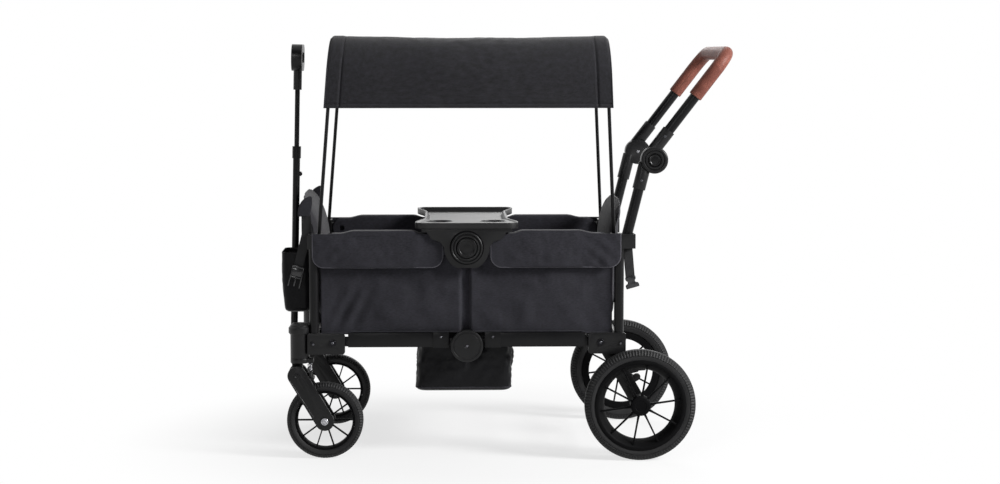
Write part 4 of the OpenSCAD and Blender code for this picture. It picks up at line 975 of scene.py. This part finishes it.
rear_rim = spoked(
    "rear_wheel_rim_left",
    barrel=[(113.7, -16), (113.7, 19), (110, 19.5), (96, 19.5), (94.4, 18), (94, 14), (95.5, 6), (99, -4),
            (104.5, -13), (108.6, -18.4), (110.6, -21.4), (113.4, -22.8), (117.6, -22.9), (120.6, -21.9),
            (121.6, -20.2), (120.6, -18.4)],
    hub=[(0, -27.2), (14.6, -27.2), (15.6, -27.9), (22.5, -27.9), (25, -26.8), (26.6, -24.2), (27, -20),
         (27, 8), (24, 12), (12, 13), (0, 13)],
    spoke=[(20, 5), (30, 3.2), (44, 2.3), (110.5, 2.1)], depth=(-18.5, -11), turn=8, centre=REAR_CENTRE)
rear_tyre = moved(tyre("rear_wheel_tyre_left", radius=148, inner=114, half=22, ribs=112), at(*REAR_CENTRE))
front_rim = spoked(
    "front_wheel_rim_left",
    barrel=[(78.8, -15), (78.8, 15), (76.6, 16), (74.4, 15.4), (73.2, 13), (73, 0), (73.2, -13),
            (74.4, -15.4), (76.6, -16)],
    hub=[(0, -19), (9, -19), (13.6, -17.4), (16, -13), (16, 13), (13.6, 17.4), (9, 19), (0, 19)],
    spoke=[(12, 4), (20, 2.4), (32, 1.8), (75, 1.8)], depth=(-5, 5), turn=0, centre=FRONT_CENTRE)
front_tyre = moved(tyre("front_wheel_tyre_left", radius=102, inner=79, half=20, ribs=84), at(*FRONT_CENTRE))
for end, rim, rubber in ("rear", rear_rim, rear_tyre), ("front", front_rim, front_tyre):
    for name, side in SIDES:
        ring = rim if side < 0 else mirrored(rim, f"{end}_wheel_rim_right")
        band = rubber if side < 0 else mirrored(rubber, f"{end}_wheel_tyre_right")
        fit(ring, f"{end}_wheel_{name}", RIM, "rim_black", f"{end}_rim_{name}")
        fit(band, f"{end}_wheel_{name}", TYRE, "tyre_black", f"{end}_tyre_{name}")


# Turned details on both sides: buttons, rings, caps and screws
def both(name, profile, place, body, material, slot, node=None, steps=72, angle=35):
    """A turned piece on the left, its outside towards -Y, and its twin on the right."""
    left = moved(lathe(name + "_left", profile, steps, angle), at(*place))
    for side, piece in (("left", left), ("right", mirrored(left, name + "_right"))):
        fit(piece, body.format(side), material, slot, *([node.format(side)] if node else []))


MEET_X, HUB_X, HUB_Z = 478.6, 500.1, 796
HUB_FACE, HANDLE_FACE = (0, -296, 567), (HUB_X, -254, HUB_Z)
LOWER_HUB_Z, ARM_FACE_Y, BOLT_FACE = 304, -283, (FRONT_CENTRE[0], -287.6, FRONT_CENTRE[2])
# A near-black ring just outside the hub's ring: painted shade, a dark line standing in for the groove round
# it
both("hub_groove_shade_ring", [(45.4, 8), (45.4, 5.6), (42.2, 5.6), (42.2, 8)],
     HUB_FACE, "upper_hubs", RIM, "moulded_black")
both("hub_ring", [(42, 0.4), (41.6, -3.2), (40.2, -4.4), (38.2, -4.6), (36.8, -3.6), (35.8, -1.4),
                  (34.8, -1.4), (33.6, -4.4), (31.4, -5.2), (29.2, -4.6), (28.3, -3.2), (28, 0.4)],
     HUB_FACE, "upper_hubs", PLASTIC, "moulded_black")
both("hub_button_face", [(0, 3), (26.9, 3), (26.9, -3.6), (26.0, -5.6), (24.2, -6.6), (21.2, -6.8),
                         (19.6, -6.0), (18.4, -4.2), (17.2, -3.9), (8, -4.6), (0, -4.8)],
     HUB_FACE, "hub_button_{}", SATIN, "moulded_black", "hub_button_{}")
both("lower_hub_cap", [(0, 0.6), (42.6, 0.6), (41.5, -0.6), (38.5, -1.2), (36.6, -1.3), (35.8, -0.5),
                       (34.6, -0.5), (33.8, -1.4), (12, -2.0), (6, -2.0), (5, -1.2), (0, -1.2)],
     (0, -289.3, LOWER_HUB_Z), NODE_BODY["lower_hubs"], PLASTIC, "moulded_black")
both("handle_hub_ring", [(35.6, 0.4), (34.8, -1.8), (32.6, -3.4), (29.4, -3.8), (27.4, -3.0), (26.4, -1.2),
                         (25.2, -1.2), (24.0, -3.0), (21.0, -3.9), (18.8, -3.4), (17.8, -2.2), (17.4, 0.4)],
     HANDLE_FACE, "push_handle", PLASTIC, "moulded_black")
both("handle_button_face", [(0, 4.5), (15.9, 4.5), (15.9, -3.4), (15, -5.0), (12.8, -5.6), (11.2, -4.8),
                            (10.2, -3.9), (4, -4.3), (0, -4.4)],
     HANDLE_FACE, "handle_button_{}", SATIN, "moulded_black", "handle_button_{}")
both("caster_pin_ring", [(7.5, 0.6), (7.2, -0.8), (5.6, -1.0), (4.6, -0.4), (4.0, 0.6)],
     (ARM_PIVOT_X, ARM_FACE_Y, ARM_PIVOT_Z), "caster_arm_{}", PLASTIC, "moulded_black")


def screw_profile(radius):
    """Pan head with a small socket."""
    return [(0, -0.5), (radius * 0.35, -0.5), (radius * 0.42, -1.2), (radius * 0.78, -1.3),
            (radius * 0.96, -0.8), (radius, 0.1), (radius, 1.0), (0, 1.0)]


def along_handle(lean, run):
    """Place along a handle tube's middle line, measured from where the two lines meet."""
    return MEET_X + run * math.sin(lean), HUB_Z + run * math.cos(lean)


UPPER_LEAN, LOWER_LEAN = math.radians(37.5), math.radians(14)
upper_x, upper_z = along_handle(UPPER_LEAN, 79)
lower_x, lower_z = along_handle(LOWER_LEAN, -56)
for name, radius, place, body in (
        ("rear_pivot_screw", 3.4, (PIVOT_X, -279, LOWER_PIVOT_Z), "rear_frame"),
        ("front_pivot_screw", 3.4, (-PIVOT_X, -279, LOWER_PIVOT_Z), "front_frame"),
        ("rear_post_screw", 3.0, (410, -278, 308), "rear_frame"),
        ("front_post_screw", 3.0, (-408, -278, 308), "front_frame"),
        ("rear_rail_screw", 3.0, (69, -271.7, 326), "rear_lower_rails"),
        ("front_rail_screw", 3.0, (-69, -271.7, 326), "front_lower_rails"),
        ("lower_hub_screw", 3.4, (0, -290.6, LOWER_HUB_Z), NODE_BODY["lower_hubs"]),
        ("handle_socket_screw", 3.2, (upper_x, -255.4, upper_z), "push_handle"),
        ("handle_foot_screw", 3.2, (lower_x, -255.4, lower_z), "rear_frame")):
    both(name, screw_profile(radius), place, body, SCREW_STEEL, "steel", steps=20)
both("handle_inner_screw", [(r, -y) for r, y in screw_profile(4.2)], (HUB_X, -222.2, HUB_Z), "rear_frame",
     STEEL, "steel", steps=20)
both("caster_washer", [(9.6, 4.8), (9.6, -0.2), (9.0, -0.7), (0, -0.7), (0, 4.8)], BOLT_FACE, "caster_arm_{}",
     STEEL, "steel", steps=32)
both("caster_bolt", [(0, -0.4), (6.6, -0.4), (6.8, -3.0), (6.0, -3.8), (0, -3.8)], BOLT_FACE, "caster_arm_{}",
     STEEL, "steel", steps=6, angle=20)

# Raised rib along the front edge of each caster arm
RIB_X, RIB_Z, RIB_RUN, RIB_FALL = -471, 212, 62, 98
for name, side in SIDES:
    path = [at(RIB_X + RIB_RUN * t, -side * ARM_FACE_Y, RIB_Z - RIB_FALL * t)
            for t in [i / 24 for i in range(25)]]
    rib = cord_along(f"caster_rib_{name}", path, 1.7)
    fit(rib, f"caster_arm_{name}", PLASTIC, "moulded_black")

# Handle grip: leatherette sleeve, with a running stitch along the inside
softened("handle_grip", width=2.4, material=LEATHER, segments=3)
REACH, BEND, GRIP_R, HANDLE_Y, LEG_START, STITCH = 357, 55, 18.5, 238, 214, 3.4
inside, bend_z, bend_y = BEND - GRIP_R, REACH - BEND, HANDLE_Y - BEND
leg_steps = int((bend_z - LEG_START) / STITCH)
route = [(-HANDLE_Y + GRIP_R, LEG_START + i * STITCH, 1, 0) for i in range(leg_steps)]
route += [(-bend_y - inside * math.cos(a), bend_z + inside * math.sin(a), math.cos(a), -math.sin(a))
          for a in [math.pi / 2 * i / 17 for i in range(17)]]
route += [(-bend_y + i * STITCH, bend_z + inside, 0, -1) for i in range(int(bend_y / STITCH) + 1)]
route += [(-y, z, -ny, nz) for y, z, ny, nz in reversed(route[:-1])]
stitches = []
for i, (y, z, ny, nz) in enumerate(route):
    proud = 0.5 if i % 2 else -0.6
    y, z = y + ny * proud, z + nz * proud
    x, z = along_handle(UPPER_LEAN, z)
    stitches.append(at(x, y, z))
seam = cord_along("handle_grip_stitching", stitches, 0.7, False, 1)
fit(seam, "push_handle", THREAD, "grip_leather")


# Tray: a waisted dish with upright ends, a high rim and a raised deck round two cups
TRAY_END, TRAY_HALF, TRAY_WAIST, TRAY_ROUND = 286.5, 137, 113, 30
TRAY_LOW, TRAY_FLOOR, DECK_Z, TRAY_TOP = 616.4, 618.6, 629.6, 632.3
WAIST_FROM, WAIST_TO, RIM_FROM, RIM_TO, DECK_FROM, DECK_TO = 110, 250, 5, 14, 108, 140
CUP_X, CUP_Y, CUP_CUT, CUP_STEPS = 72, -193, 33.4, 72
CUP_PROFILE = [(0, -27), (32, -27), (35.4, -25), (36, -22), (36, -3), (36.2, 0.3), (34.8, 0.8), (33.2, 0.4),
               (32.8, -1), (32.4, -21), (30.8, -23.6), (28, -24), (0, -24)]


def tray_spot(u, v):
    """Upper side of the tray: narrow in the middle, its rim rising at the edge and its deck on the left."""
    y = TRAY_END * (2 * v - 1)
    into = max(0, abs(y) - (TRAY_END - TRAY_ROUND))
    half = TRAY_WAIST + (TRAY_HALF - TRAY_WAIST) * eased(abs(y), WAIST_FROM, WAIST_TO)
    half += math.sqrt(max(0, TRAY_ROUND ** 2 - into ** 2)) - TRAY_ROUND
    x = half * (2 * u - 1)
    from_edge = min(half - abs(x), TRAY_END - abs(y))
    wall = (TRAY_TOP - TRAY_FLOOR) * (1 - eased(from_edge, RIM_FROM, RIM_TO))
    deck = (DECK_Z - TRAY_FLOOR) * eased(-y, DECK_FROM, DECK_TO)
    return at(x, y, TRAY_FLOOR + max(wall, deck))


tray = cloth_grid("tray_dish", 120, 240, tray_spot, (1, 1))
edit(tray, "EDGE")
bpy.ops.mesh.select_all(action="DESELECT")
bpy.ops.mesh.select_non_manifold(extend=False, use_wire=False, use_boundary=True, use_multi_face=False,
                                 use_non_contiguous=False, use_verts=False)
bpy.ops.mesh.extrude_region_move(TRANSFORM_OT_translate={"value": (0, 0, (TRAY_LOW - TRAY_TOP) * MM)})
bpy.ops.mesh.edge_face_add()
done()
tidy_mesh(tray)
modify(tray, "BEVEL", width=1.6 * MM, segments=3, limit_method="ANGLE", angle_limit=math.radians(60))
cups = []
for x in -CUP_X, CUP_X:
    clear()
    bpy.ops.mesh.primitive_cylinder_add(vertices=CUP_STEPS, radius=CUP_CUT * MM, depth=40 * MM,
                                        location=at(x, CUP_Y, 620))
    cutter = bpy.context.object
    settle(cutter)
    modify(tray, "BOOLEAN", object=cutter, operation="DIFFERENCE", solver="EXACT")
    bpy.data.objects.remove(cutter)
    cup = lathe(f"tray_cup_{x}", CUP_PROFILE, CUP_STEPS)
    turned_by(cup, math.pi / 2, "X")
    cups.append(moved(cup, at(x, CUP_Y, DECK_Z)))
smooth(tray, 40)
tray = joined("tray_dish", [tray] + cups)
fit(tray, NODE_BODY["tray"], TRAY, "tray_grey", "tray")


# Studio: white surround, pale floor with a soft shadow, broad lamps
ROOM_LIGHT, ROOM_FRONT = 0.14, -0.75
SHADOW_CLEAR, SHADOW_EDGE, SHADOW_END = 0.7, 0.45, 1.15


def studio_floor():
    """Pale floor that glows for the camera: a little less near the wagon, so that its soft shadow shows."""
    clear()
    bpy.ops.mesh.primitive_plane_add(size=30, location=(0, 0, -0.5 * MM))
    floor = bpy.context.object
    floor.name = "floor"
    material, tree, shader = start_material("painted_studio_floor", Roughness=0.9, Specular_IOR_Level=0.1)
    shader.inputs["Base Color"].default_value = colour("#ececec")
    glow = add(tree, "ShaderNodeEmission", {"Color": (1, 1, 1, 1), "Strength": 1.0})
    path = add(tree, "ShaderNodeLightPath").outputs
    seen = add(tree, "ShaderNodeMath", {0: path["Is Camera Ray"], 1: path["Is Glossy Ray"]},
               operation="MAXIMUM")
    seen = add(tree, "ShaderNodeMath", {0: seen.outputs[0], 1: path["Is Transmission Ray"]},
               operation="MAXIMUM")
    where = add(tree, "ShaderNodeTexCoord").outputs["Object"]
    away = add(tree, "ShaderNodeVectorMath", {0: where}, operation="LENGTH")
    fade = add(tree, "ShaderNodeMapRange", {"Value": away.outputs["Value"], "From Min": SHADOW_EDGE,
                                            "From Max": SHADOW_END, "To Min": SHADOW_CLEAR, "To Max": 1.0},
               interpolation_type="SMOOTHSTEP")
    share = add(tree, "ShaderNodeMath", {0: seen.outputs[0], 1: fade.outputs[0]}, operation="MULTIPLY")
    mix = add(tree, "ShaderNodeMixShader", {0: share.outputs[0], 1: shader.outputs[0], 2: glow.outputs[0]})
    tree.links.new(mix.outputs[0], tree.nodes["Material Output"].inputs["Surface"])
    wear(floor, material)


def studio_world():
    """White to the camera, dim to the surfaces, and to their highlights white behind and dim in front."""
    world = bpy.data.worlds.new("studio")
    bpy.context.scene.world = world
    world.use_nodes = True
    tree = world.node_tree
    path = add(tree, "ShaderNodeLightPath").outputs
    seen = add(tree, "ShaderNodeMath", {0: path["Is Camera Ray"], 1: path["Is Transmission Ray"]},
               operation="MAXIMUM")
    way = add(tree, "ShaderNodeSeparateXYZ", {0: add(tree, "ShaderNodeTexCoord").outputs["Generated"]})
    room = add(tree, "ShaderNodeMapRange", {"Value": way.outputs["Y"], "From Min": ROOM_FRONT,
                                            "From Max": 0.0, "To Min": ROOM_LIGHT, "To Max": 1.0},
               interpolation_type="SMOOTHSTEP")
    shown = add(tree, "ShaderNodeMath", {0: path["Is Glossy Ray"], 1: room.outputs[0]}, operation="MULTIPLY")
    shown = add(tree, "ShaderNodeMath", {0: shown.outputs[0], 1: ROOM_LIGHT}, operation="MAXIMUM")
    strength = add(tree, "ShaderNodeMath", {0: seen.outputs[0], 1: shown.outputs[0]}, operation="MAXIMUM")
    tree.links.new(strength.outputs[0], tree.nodes["Background"].inputs["Strength"])
    tree.nodes["Background"].inputs["Color"].default_value = (1, 1, 1, 1)


def lamps():
    """Round soft boxes: name, place, aim, size in metres and power in watts."""
    for name, place, aim, size, power in (
            ("overhead_softbox", (0.4, -0.9, 3.6), (0, 0, 0.5), 1.6, 6),
            ("key_softbox", (3.9, -2.1, 2.7), (0, 0, 0.6), 1.5, 340),
            ("fill_softbox", (-1.4, -4.8, 2.1), (0, 0, 0.6), 1.2, 30),
            ("back_softbox", (0.6, 3.4, 2.4), (0, 0, 0.6), 2.2, 40)):
        light = bpy.data.lights.new(name, "AREA")
        light.shape = "DISK"
        light.size = size
        light.energy = power
        lamp = bpy.data.objects.new(name, light)
        lamp.location = place
        lamp.rotation_euler = (Vector(aim) - Vector(place)).to_track_quat("-Z", "Y").to_euler()
        bpy.context.scene.collection.objects.link(lamp)


studio_floor()
studio_world()
lamps()
bpy.context.scene.view_settings.view_transform = "Standard"
clear()
